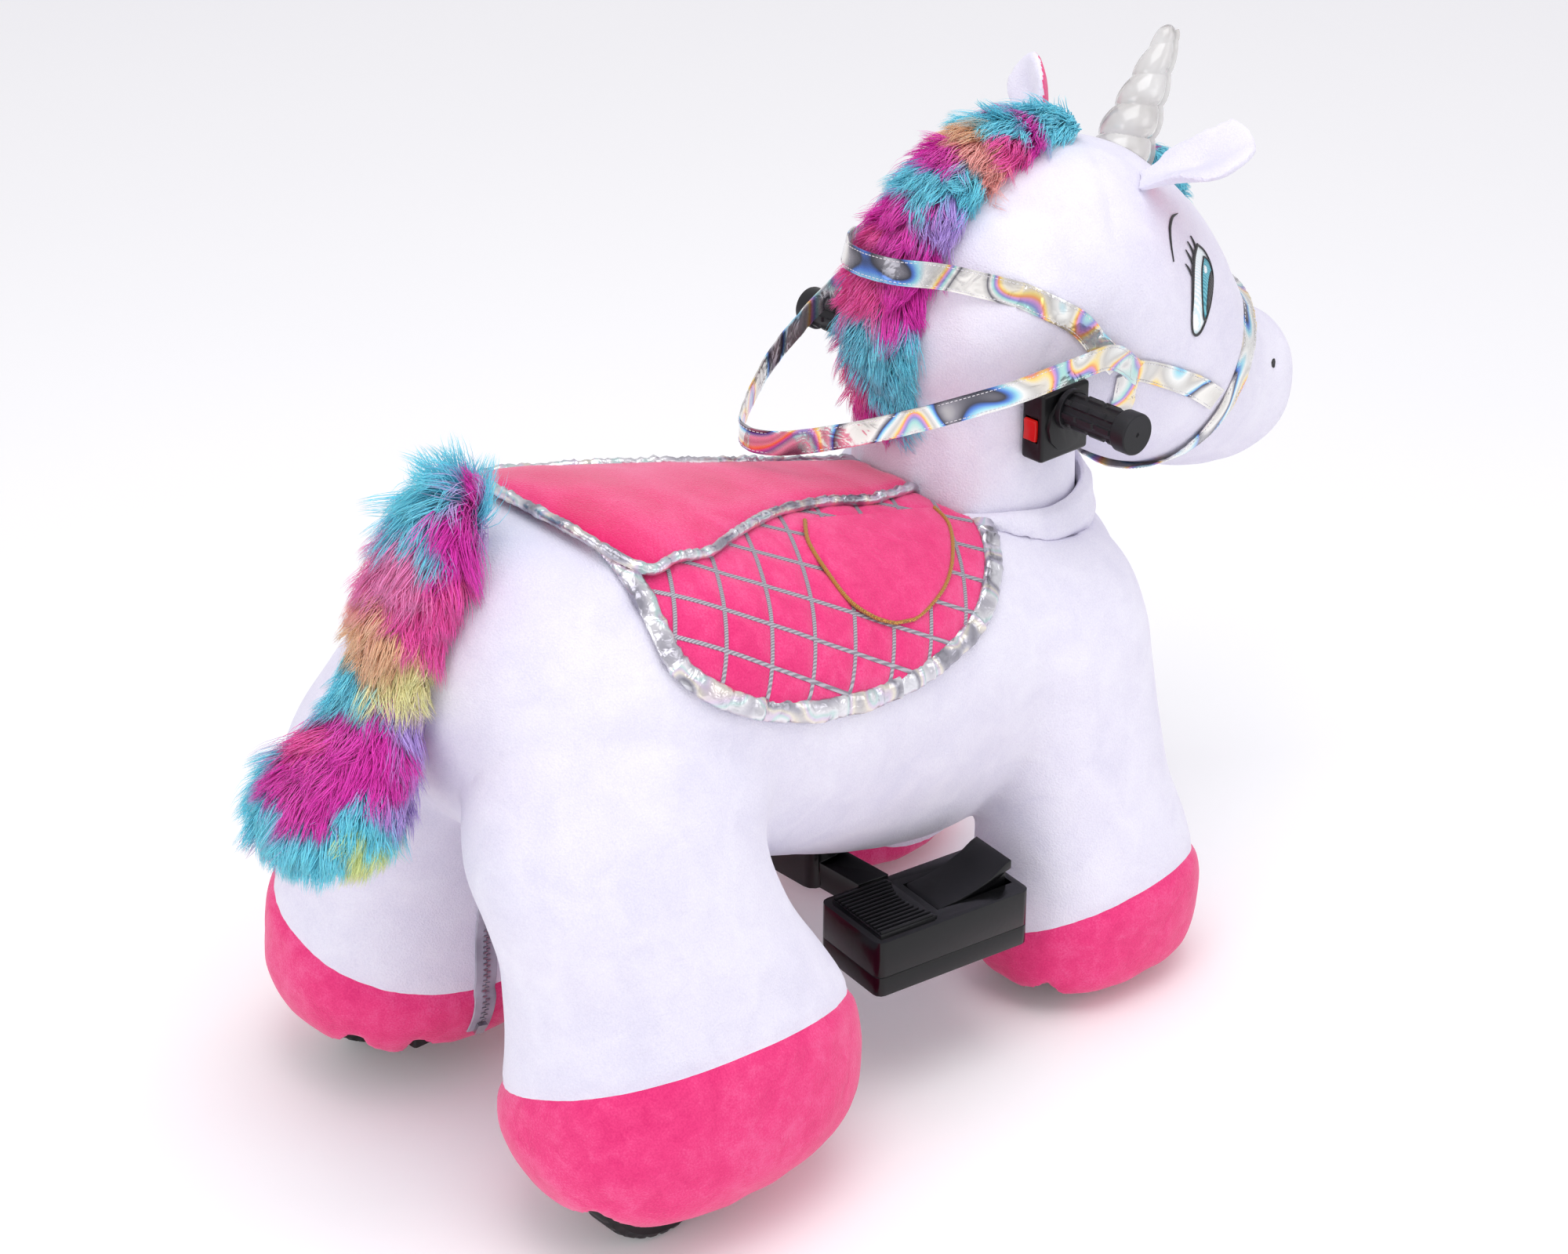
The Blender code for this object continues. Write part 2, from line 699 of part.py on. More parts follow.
def collar_cutter():
    return rod("collar_space", (0, STEER_Y, NECK_BASE_Z - COLLAR_HEIGHT / 2 - GAP),
               (0, STEER_Y, BAR_Z), NECK_RADIUS + RUNNING + COLLAR_THICKNESS + 2 * GAP,
               sides=HEAD_SIDES * 2, cutter=True)


def gear_cutter():
    return box("cavity_gearbox", (GEAR_LOW_X - ROOM, REAR_AXLE_Y - GEAR_HALF - ROOM, GEAR_BASE_Z - OVERRUN),
               (POST_X, REAR_AXLE_Y + GEAR_HALF - GEAR_STEP + ROOM, MOTOR_TOP + ROOM), cutter=True)


def make_plush():
    shared, torso_only, limb_only = mechanism_cutters()
    gear_room = gear_cutter()
    torso_space = loft("torso_space", torso_rings(GAP), cutter=True)
    limb_space = loft("torso_space_limbs", torso_rings(2.5 * GAP), cutter=True)
    head_space = loft("head_space", head_rings(GAP), cutter=True)
    neck_space = loft("neck_space", neck_rings(GAP), cutter=True)
    seat_space = rod("neck_seat", (0, STEER_Y, NECK_BASE_Z - GAP),
                     (0, STEER_Y, NECK_BASE_Z + NECK_HEIGHT), NECK_RADIUS + RUNNING,
                     sides=HEAD_SIDES * 2, cutter=True)
    bar_hole = rod("handlebar_hole", (-HEAD_WIDTH, STEER_Y, BAR_Z), (HEAD_WIDTH, STEER_Y, BAR_Z),
                   BAR_RADIUS + GAP, cutter=True)
    column_hole = rod("column_hole", (0, STEER_Y, NECK_BASE_Z - OVERRUN),
                      (0, STEER_Y, BAR_Z + COLUMN_RADIUS + GAP), COLUMN_RADIUS + GAP, cutter=True)

    torso = loft("torso_plush", torso_rings(), white_plush())
    bar_space = bar_cutter()
    cut(torso, seat_space, bar_space, *shared, *torso_only)

    panel = loft("belly_panel", torso_rings(), white_plush())
    cut(panel, shell_cutter(), hanger_hole(), bar_space)
    half = CAVITY_WIDTH / 2 - GAP
    low = (-half, BELLY_FRONT_Y + GAP, TORSO_BASE_Z - BELLY_DROP - OVERRUN)
    high = (half, REAR_AXLE_Y - 4 * POST_RADIUS - GAP, SPINE_Z - SPINE_RADIUS)
    cut(panel, box("panel_outline", low, high, cutter=True), operation="INTERSECT")

    collar_space = collar_cutter()
    limbs = []
    for side, word in ((1, "left"), (-1, "right")):
        rings = limb_rings(REAR_LIMB_SHARES, side, REAR_LEG_X, REAR_LEG_Y,
                           REAR_LEG_WIDTH, REAR_LEG_DEPTH, REAR_LEG_HEIGHT)
        limbs += limb_pieces("rear_" + word, side, rings, (side * REAR_LEG_X, REAR_LEG_Y, REAR_SEAM_Z),
                             REAR_SEAM_OUTWARD_SHARE, REAR_SEAM_REARWARD_SHARE)
        rings = limb_rings(FRONT_LIMB_SHARES, side, FRONT_LEG_X, FRONT_LEG_Y,
                           FRONT_LEG_WIDTH, FRONT_LEG_DEPTH, FRONT_LEG_HEIGHT)
        limbs += limb_pieces("front_" + word, side, rings,
                             (side * FRONT_LEG_X, FRONT_LEG_Y, FRONT_SEAM_Z),
                             FRONT_SEAM_OUTWARD_SHARE, FRONT_SEAM_REARWARD_SHARE)
    for limb in limbs:
        if limb.name.startswith("leg_"):
            cut(limb, limb_space)
        if limb.name.startswith("leg_front"):
            cut(limb, collar_space)
        for cutter in shared + limb_only:
            words = limb.name.split("_")
            other = {"left": "right", "right": "left", "front": "rear", "rear": "front"}
            clash = any(cutter.name.split("_").count(other[word]) for word in words[1:])
            if not clash:
                cut(limb, cutter)
        if limb.name.endswith("rear_left"):
            cut(limb, gear_room)

    head = loft("head_plush", head_rings(), white_plush())
    cut(head, bar_hole, column_hole)
    neck = loft("neck_plush", neck_rings(), white_plush())
    cut(neck, head_space, bar_hole, column_hole)

    inner = NECK_RADIUS + RUNNING
    outer = inner + COLLAR_THICKNESS
    low, top = NECK_BASE_Z - COLLAR_HEIGHT / 2, NECK_BASE_Z + COLLAR_HEIGHT / 2
    bulge = COLLAR_THICKNESS / 3
    profile = [(0.0, inner), (0.0, outer - bulge), ((top - low) / 2, outer),
               (top - low - bulge, outer - bulge), (top - low, inner + bulge), (top - low, inner)]
    collar = turned("neck_collar", profile, (0, STEER_Y, low), (0, STEER_Y, top), white_plush(),
                    sides=HEAD_SIDES * 2)
    cut(collar, torso_space)
    return torso_space, head_space, neck_space


def make_horn_and_ears(head_space):
    lean = math.radians(30)
    base_y = HEAD_FRONT_Y + 0.435 * HEAD_LENGTH
    axis = Vector((0, -math.sin(lean), math.cos(lean)))
    foot = head_point(base_y, 0.0) - axis * HORN_RADIUS
    turns, rows, sides = 5, 18, 12
    rings = []
    side_x = Vector((1, 0, 0))
    side_y = axis.cross(side_x)
    length = HORN_LENGTH + HORN_RADIUS
    for i in range(rows):
        t = i / (rows - 1)
        ring = []
        for k in range(sides):
            angle = 2 * math.pi * k / sides
            taper = 1 - 0.80 * t ** 1.15
            swell = 1 + 0.09 * math.cos(2 * math.pi * turns * t - angle)
            close = math.sqrt(max(1 - max(t - 0.94, 0) ** 2 / 0.0040, 0.04))
            radius = HORN_RADIUS * taper * swell * close
            ring.append(foot + axis * (t * length)
                        + side_x * (radius * math.cos(angle)) + side_y * (radius * math.sin(angle)))
        rings.append(ring)
    horn = loft("horn", rings, material("horn_plastic", (0.80, 0.78, 0.74), 0.15))
    cut(horn, head_space)

    ear_base_share, ear_angle = 0.535, 0.62
    placements = (
        ("ear_right", -1, 0.0, 1.0, Vector((-0.86, -0.30, 0.42)), Vector((0.20, 0.45, 0.87))),
        ("ear_left", 1, -0.055, 0.78, Vector((0.30, -0.10, 0.94)), Vector((0.30, 0.94, 0.0))),
    )
    for name, side, forward_share, length_share, along, face in placements:
        root = head_point(HEAD_FRONT_Y + (ear_base_share + forward_share) * HEAD_LENGTH, side * ear_angle)
        along.normalize()
        face = (face - face.dot(along) * along).normalized()
        across = along.cross(face)
        rings = []
        shares = [(-0.12, 0.50), (0.05, 0.66), (0.25, 0.92), (0.5, 1.0), (0.72, 0.90), (0.88, 0.64),
                  (0.97, 0.34), (1.0, 0.12)]
        for t, wide in shares:
            ring = []
            for k in range(12):
                u, v = oval(2 * math.pi * k / 12, wide * EAR_WIDTH / 2,
                            EAR_THICKNESS / 2 * math.sqrt(wide), 2.0)
                cup = EAR_THICKNESS * (u / EAR_WIDTH * 2) ** 2
                ring.append(root + along * (t * length_share * EAR_LENGTH) + across * u + face * (v + cup))
            rings.append(ring)
        ear = loft(name, rings, white_plush())
        cut(ear, head_space)


def make_fur(tree, head_space, torso_space, neck_space):
    """The mane, the forelock and the tail, as plain outer shapes."""
    # Places on the crest: (share along the head, share of its height), and the outward shift
    crest_shares = [
        (0.560, 0.985), (0.640, 1.005), (0.720, 1.000), (0.800, 0.975), (0.870, 0.930),
        (0.935, 0.850), (0.985, 0.740), (1.005, 0.620), (0.990, 0.500), (0.950, 0.400), (0.900, 0.330),
    ]
    points = [Vector((0, HEAD_FRONT_Y + a * HEAD_LENGTH, HEAD_BASE_Z + b * HEAD_HEIGHT))
              for a, b in smooth_rows(crest_shares, 2)]
    count = len(points)
    widths = [MANE_WIDTH / 2 * (0.55 + 0.45 * min(1, 4 * i / count, 3.2 * (count - 1 - i) / count))
              for i in range(count)]
    depths = [MANE_DEPTH / 2 * (0.55 + 0.45 * min(1, 4 * i / count, 3.2 * (count - 1 - i) / count))
              for i in range(count)]
    mane = loft("mane", sausage_rings(points, widths, depths, 10), rainbow_fur())
    strap_space = crown_strap(tree, "neck_strap_space", grow=GAP, cutter=True)
    cut(mane, head_space, neck_space, strap_space)

    lock_shares = [(0.375, 0.88), (0.345, 0.85), (0.315, 0.80), (0.290, 0.74), (0.275, 0.69)]
    points = [Vector((0, HEAD_FRONT_Y + a * HEAD_LENGTH, HEAD_BASE_Z + b * HEAD_HEIGHT))
              for a, b in smooth_rows(lock_shares, 2)]
    wide_shares = [0.5, 0.85, 1.0, 1.0, 0.95, 0.85, 0.7, 0.5, 0.25]
    widths = [MANE_WIDTH * 0.34 * w for w in wide_shares]
    depths = [MANE_DEPTH * 0.26 * w for w in wide_shares]
    lock = loft("forelock", sausage_rings(points, widths, depths, 10), rainbow_fur())
    cut(lock, head_space)

    # The tail: (share of its length back from the rump, share down), then its thickness
    base = Vector((0, TORSO_FRONT_Y + 0.905 * TORSO_LENGTH, TORSO_BASE_Z + 1.0 * TORSO_HEIGHT))
    tail_shares = [
        (0.00, 0.00, 0.30), (0.035, -0.06, 0.56), (0.085, -0.01, 0.62), (0.140, 0.08, 0.62),
        (0.180, 0.17, 0.60), (0.220, 0.27, 0.60), (0.275, 0.37, 0.76), (0.345, 0.445, 0.98),
        (0.376, 0.51, 0.98), (0.385, 0.57, 0.74), (0.380, 0.62, 0.32),
    ]
    rows = smooth_rows(tail_shares, 2)
    points = [base + Vector((0, a * TAIL_LENGTH, -b * TAIL_LENGTH)) for a, b, _ in rows]
    radii = [c * TAIL_RADIUS for _, _, c in rows]
    tail = loft("tail", sausage_rings(points, radii, radii, 12), rainbow_fur())
    cut(tail, torso_space)


# Saddle: rows of (angle down the side, front edge, rear edge), the edges as shares of the torso
PAD_ANGLE = math.radians(82)
PAD_EDGE_SHARES = [
    (0.00, 0.232, 0.812), (0.23, 0.250, 0.812), (0.42, 0.275, 0.814), (0.56, 0.302, 0.818),
    (0.75, 0.352, 0.818), (0.84, 0.391, 0.800), (0.92, 0.448, 0.765), (0.97, 0.510, 0.715),
    (1.00, 0.580, 0.655),
]
# The seat: rows of (place along the torso, half angle as a share of the widest)
SEAT_ANGLE = math.radians(35)
SEAT_EDGE_SHARES = [
    (0.278, 0.10), (0.290, 0.24), (0.320, 0.33), (0.365, 0.39), (0.400, 0.44), (0.430, 0.42),
    (0.470, 0.42), (0.530, 0.46), (0.590, 0.57), (0.650, 0.72), (0.705, 0.88), (0.755, 0.92),
    (0.793, 1.00), (0.815, 0.86), (0.832, 0.58), (0.841, 0.25),
]
# The flap: rows of (angle as a share of its lowest, front edge, rear edge)
FLAP_ANGLE = math.radians(60)
FLAP_EDGE_SHARES = [
    (0.36, 0.322, 0.530), (0.50, 0.330, 0.556), (0.70, 0.366, 0.565), (0.85, 0.404, 0.560),
    (0.95, 0.446, 0.536), (1.00, 0.478, 0.508),
]
FLAP_GAP = 0.0015


def torso_y(place):
    return TORSO_FRONT_Y + place * TORSO_LENGTH


def half_grid(edges, reach, side, steps, columns):
    """Rows down one side of the body between a front edge and a rear edge."""
    grid = []
    for down, front, rear in smooth_rows(edges, steps):
        grid.append([(torso_y(front + (rear - front) * c / columns), side * down * reach)
                     for c in range(columns + 1)])
    return grid


def seat_angle_at(place):
    place = min(max(place, SEAT_EDGE_SHARES[0][0]), SEAT_EDGE_SHARES[-1][0])
    return row_at(SEAT_EDGE_SHARES, place)[1] * SEAT_ANGLE


def make_saddle(torso_space):
    low = GAP * 2
    pad_top = low + PAD_THICKNESS
    right = half_grid(PAD_EDGE_SHARES, PAD_ANGLE, -1, 2, 6)
    left = half_grid(PAD_EDGE_SHARES, PAD_ANGLE, 1, 2, 6)
    rows = list(reversed(right)) + left[1:]
    collar_space = collar_cutter()
    pad = patch("saddle_pad", torso_point, rows, pink_plush(), low, pad_top)
    cut(pad, collar_space, torso_space)
    rows = []
    for place, wide in SEAT_EDGE_SHARES:
        rows.append([(torso_y(place), wide * SEAT_ANGLE * (-1 + c / 5)) for c in range(11)])
    seat_low = pad_top + 2 * low
    seat = patch("saddle_seat", torso_point, rows, pink_plush(), seat_low, seat_low + SEAT_THICKNESS)
    cut(seat, collar_space)
    for side, word in ((1, "left"), (-1, "right")):
        rows = []
        for r, row in enumerate(half_grid(FLAP_EDGE_SHARES, FLAP_ANGLE, side, 2, 6)):
            fixed = []
            for y, angle in row:
                least = seat_angle_at((y - TORSO_FRONT_Y) / TORSO_LENGTH) + FLAP_GAP / TORSO_WIDTH * 2
                fixed.append((y, side * max(abs(angle), least + 0.01 * r)))
            rows.append(fixed)
        patch("stirrup_flap_" + word, torso_point, rows, pink_plush(), seat_low,
              seat_low + FLAP_THICKNESS)


# Bridle: rough places as (share of the head's half width, share of its length, share of its height)
NOSE_PLACE_SHARE = 0.320
NOSE_TILT_SHARE = 0.115
CHEEK_SHARES = [(0.96, 0.400, 0.330), (0.97, 0.475, 0.400), (0.97, 0.570, 0.465), (0.94, 0.630, 0.500)]
CROWN_SHARES = [(0.94, 0.668, 0.520), (0.95, 0.723, 0.591), (0.93, 0.778, 0.669), (0.78, 0.870, 0.749)]
CROWN_BACK_SHARES = [(0.50, 0.972, 0.800), (0.24, 1.040, 0.815), (0.0, 1.056, 0.818)]
# Reins: (share of the head's half width, share of their reach behind the steering axis, share of
# the head's height)
REIN_SHARES = [
    (-1.02, -0.357, 0.500), (-1.16, -0.143, 0.590), (-1.18, 0.050, 0.600), (-0.98, 0.329, 0.560),
    (-0.52, 0.683, 0.500), (-0.08, 0.919, 0.462), (0.22, 0.990, 0.458), (0.48, 0.876, 0.465),
    (0.86, 0.543, 0.520), (1.16, 0.050, 0.600), (1.16, -0.143, 0.590), (1.02, -0.357, 0.500),
]


def head_place(row):
    across, along, up = row
    return Vector((across * HEAD_WIDTH / 2, HEAD_FRONT_Y + along * HEAD_LENGTH,
                   HEAD_BASE_Z + up * HEAD_HEIGHT))


def rein_place(row):
    across, along, up = row
    return Vector((across * HEAD_WIDTH / 2, STEER_Y + along * REIN_REACH, HEAD_BASE_Z + up * HEAD_HEIGHT))


def head_tree():
    bm = bmesh.new()
    fill_loft(bm, head_rings())
    bmesh.ops.recalc_face_normals(bm, faces=bm.faces)
    tree = BVHTree.FromBMesh(bm)
    bm.free()
    return tree


def laid(tree, points, lift):
    """The points moved onto the head, and the directions that look out of it there."""
    path, outward = [], []
    for point in points:
        place, normal, _, _ = tree.find_nearest(point)
        path.append(place + normal * lift)
        outward.append(normal)
    return path, outward


def crown_strap(tree, name, grow=0.0, cutter=False):
    """The strap from one cheek up over the back of the mane to the other cheek."""
    lift = 4 * GAP
    side = [head_place(row) for row in smooth_rows(CROWN_SHARES, 3)]
    path, outward = laid(tree, side, lift)
    back = [head_place(row) for row in smooth_rows([CROWN_SHARES[-1]] + CROWN_BACK_SHARES, 3)][1:]
    middle = HEAD_FRONT_Y + 0.70 * HEAD_LENGTH
    for point in back:
        path.append(point)
        outward.append(Vector((point.x, point.y - middle, 0.25 * (point.y - middle))).normalized())
    mirrored = [Vector((-p.x, p.y, p.z)) for p in reversed(path[:-1])]
    mirrored_out = [Vector((-n.x, n.y, n.z)) for n in reversed(outward[:-1])]
    return strap(name, path + mirrored, outward + mirrored_out, STRAP_WIDTH, STRAP_THICKNESS,
                 silver_strap(), grow=grow, cutter=cutter)


def make_bridle(tree, head_space):
    nose = []
    for k in range(28):
        angle = 2 * math.pi * k / 28
        place = NOSE_PLACE_SHARE - NOSE_TILT_SHARE * math.cos(angle)
        nose.append(head_point(HEAD_FRONT_Y + place * HEAD_LENGTH, angle))
    path, outward = laid(tree, nose, 6 * GAP)
    band = strap("noseband", path, outward, STRAP_WIDTH, STRAP_THICKNESS, silver_strap(), closed=True)
    cut(band, head_space)
    cut(crown_strap(tree, "neck_strap"), head_space)
    for side, word in ((1, "left"), (-1, "right")):
        points = [head_place((side * a, b, c)) for a, b, c in smooth_rows(CHEEK_SHARES, 4)]
        path, outward = laid(tree, points, 2.5 * GAP)
        cut(strap("cheek_strap_" + word, path, outward, STRAP_WIDTH, STRAP_THICKNESS, silver_strap()),
            head_space)
    path = [rein_place(row) for row in smooth_rows(REIN_SHARES, 3)]
    outward = []
    for i, point in enumerate(path):
        before, after = path[max(i - 1, 0)], path[min(i + 1, len(path) - 1)]
        along = (after - before).normalized()
        outward.append(Vector((0, 0, 1)).cross(along))
    for end in (0, -1):
        point, normal = laid(tree, [path[end]], STRAP_THICKNESS + 3 * GAP)
        path[end], outward[end] = point[0], normal[0]
    strap("reins", path, outward, STRAP_WIDTH, STRAP_THICKNESS, silver_strap())


def fill_shaft(bm, profile, axis_start, axis_end, sides=12):
    """A solid turned piece: the profile's points are (distance along, radius)."""
    a, b = Vector(axis_start), Vector(axis_end)
    turn = Vector((0, 0, 1)).rotation_difference((b - a).normalized()).to_matrix()
    rings = []
    for along, radius in profile:
        rings.append([
            a + turn @ Vector((radius * math.cos(2 * math.pi * k / sides),
                               radius * math.sin(2 * math.pi * k / sides), along))
            for k in range(sides)
        ])
    fill_loft(bm, rings)


def shaft(name, profile, axis_start, axis_end, mat=None, sides=12, cutter=False):
    return add(name, lambda bm: fill_shaft(bm, profile, axis_start, axis_end, sides), mat, cutter)


def rounded_box(name, low, high, radius, mat, upright_only=False, cutter=False):
    """A box with rounded edges, all of them or the upright ones."""
    def build(bm):
        fill_box(bm, low, high)
        edges = []
        for edge in bm.edges:
            along = (edge.verts[1].co - edge.verts[0].co).normalized()
            if abs(along.z) > 0.5 or not upright_only:
                edges.append(edge)
        bmesh.ops.bevel(bm, geom=edges, offset=radius, segments=3, profile=0.5, affect="EDGES")
    return add(name, build, mat, cutter)


def extruded(name, outline, x_low, x_high, mat, cutter=False):
    """A flat outline of (y, z) points pulled along X."""
    def build(bm):
        fill_loft(bm, [[Vector((x, y, z)) for y, z in outline] for x in (x_low, x_high)])
    return add(name, build, mat, cutter)


def joined(obj, name, mesh_builder):
    """Weld one more shape onto an object."""
    return cut(obj, add(name, mesh_builder, None, cutter=True), operation="UNION")


def make_frame():
    steel = black_steel()
    spine_start = STEER_Y + COLUMN_RADIUS + HEAD_TUBE_WALL + GAP
    rod("frame_spine", (0, spine_start, SPINE_Z), (0, REAR_AXLE_Y - CROSS_RADIUS - GAP, SPINE_Z),
        SPINE_RADIUS, steel)
    turned("head_tube",
           [(0.0, COLUMN_RADIUS + RUNNING), (0.0, COLUMN_RADIUS + HEAD_TUBE_WALL),
            (HEAD_TUBE_TOP - HEAD_TUBE_BASE, COLUMN_RADIUS + HEAD_TUBE_WALL),
            (HEAD_TUBE_TOP - HEAD_TUBE_BASE, COLUMN_RADIUS + RUNNING)],
           (0, STEER_Y, HEAD_TUBE_BASE), (0, STEER_Y, HEAD_TUBE_TOP), steel)
    rod("rear_cross_tube", (-POST_X + POST_RADIUS + GAP, REAR_AXLE_Y, SPINE_Z),
        (POST_X - POST_RADIUS - GAP, REAR_AXLE_Y, SPINE_Z), CROSS_RADIUS, steel)

    base, top = FRONT_CROSS_Z - 1.5 * CROSS_RADIUS, FRONT_CROSS_Z + 1.5 * CROSS_RADIUS
    bores = [
        rod("column_bore", (0, STEER_Y, base - OVERRUN), (0, STEER_Y, top + OVERRUN),
            COLUMN_RADIUS + HEAD_TUBE_WALL + GAP, cutter=True),
    ]
    beam = rod("front_axle_beam", (-KINGPIN_X, STEER_Y, FRONT_CROSS_Z),
               (KINGPIN_X, STEER_Y, FRONT_CROSS_Z), CROSS_RADIUS, steel)
    ring = COLUMN_RADIUS + 2 * HEAD_TUBE_WALL + GAP
    joined(beam, "tube_ring",
           lambda bm: fill_rod(bm, (0, STEER_Y, base), (0, STEER_Y, top), ring, sides=18))
    for side, word in ((1, "left"), (-1, "right")):
        x = side * KINGPIN_X

        def sleeve(bm, x=x):
            fill_rod(bm, (x, STEER_Y, base), (x, STEER_Y, top), 2 * KINGPIN_RADIUS)
        joined(beam, "kingpin_sleeve_" + word, sleeve)
        bores.append(rod("kingpin_bore_" + word, (x, STEER_Y, base - OVERRUN),
                         (x, STEER_Y, top + OVERRUN), KINGPIN_RADIUS + RUNNING, cutter=True))
    cut(beam, *bores)

    for side, word in ((1, "left"), (-1, "right")):
        post = rod("rear_post_" + word,
                   (side * POST_X, REAR_AXLE_Y, REAR_WHEEL_RADIUS - 2 * POST_RADIUS),
                   (side * POST_X, REAR_AXLE_Y, SPINE_Z + CROSS_RADIUS), POST_RADIUS, steel)
        inner = GEAR_HIGH_X - POST_RADIUS if side > 0 else POST_X - POST_RADIUS
        bore = STUB_RADIUS + (RUNNING if side > 0 else GAP)
        cut(post, rod("axle_bore_" + word, (0, REAR_AXLE_Y, REAR_WHEEL_RADIUS),
                      (side * 2 * POST_X, REAR_AXLE_Y, REAR_WHEEL_RADIUS), bore, cutter=True))
        face = REAR_WHEEL_X + WHEEL_WIDTH / 2
        step = POST_X + POST_RADIUS + RUNNING
        hub = REAR_WHEEL_X - WHEEL_WIDTH / 2 - RUNNING
        shaft("rear_axle_" + word,
              [(0.0, STUB_RADIUS), (step - inner, STUB_RADIUS), (step - inner, 2 * STUB_RADIUS),
               (hub - inner, 2 * STUB_RADIUS), (hub - inner, STUB_RADIUS),
               (face + RUNNING - inner, STUB_RADIUS), (face + RUNNING - inner, 2 * STUB_RADIUS),
               (face + STUB_RADIUS - inner, 2 * STUB_RADIUS)],
              (side * inner, REAR_AXLE_Y, REAR_WHEEL_RADIUS),
              (side * face, REAR_AXLE_Y, REAR_WHEEL_RADIUS), steel)


def wheel(name, x, y, radius, bore):
    """A one-piece wheel with a rounded tread, a dished face and a hub."""
    half = WHEEL_WIDTH / 2
    rim = radius - TYRE_DEPTH
    edge = WHEEL_SHOULDER
    profile = [
        (-half, bore), (-half, HUB_RADIUS), (-half + RIM_DEPTH, HUB_RADIUS + edge / 2),
        (-half + RIM_DEPTH, rim), (-half, rim + edge / 2), (-half, radius - edge),
        (-half + edge, radius), (half - edge, radius), (half, radius - edge),
        (half, rim + edge / 2), (half - RIM_DEPTH, rim),
        (half - RIM_DEPTH, HUB_RADIUS + edge / 2), (half, HUB_RADIUS), (half, bore),
    ]
    turned(name, profile, (x, y, radius), (x + OVERRUN, y, radius), black_plastic(), sides=16)


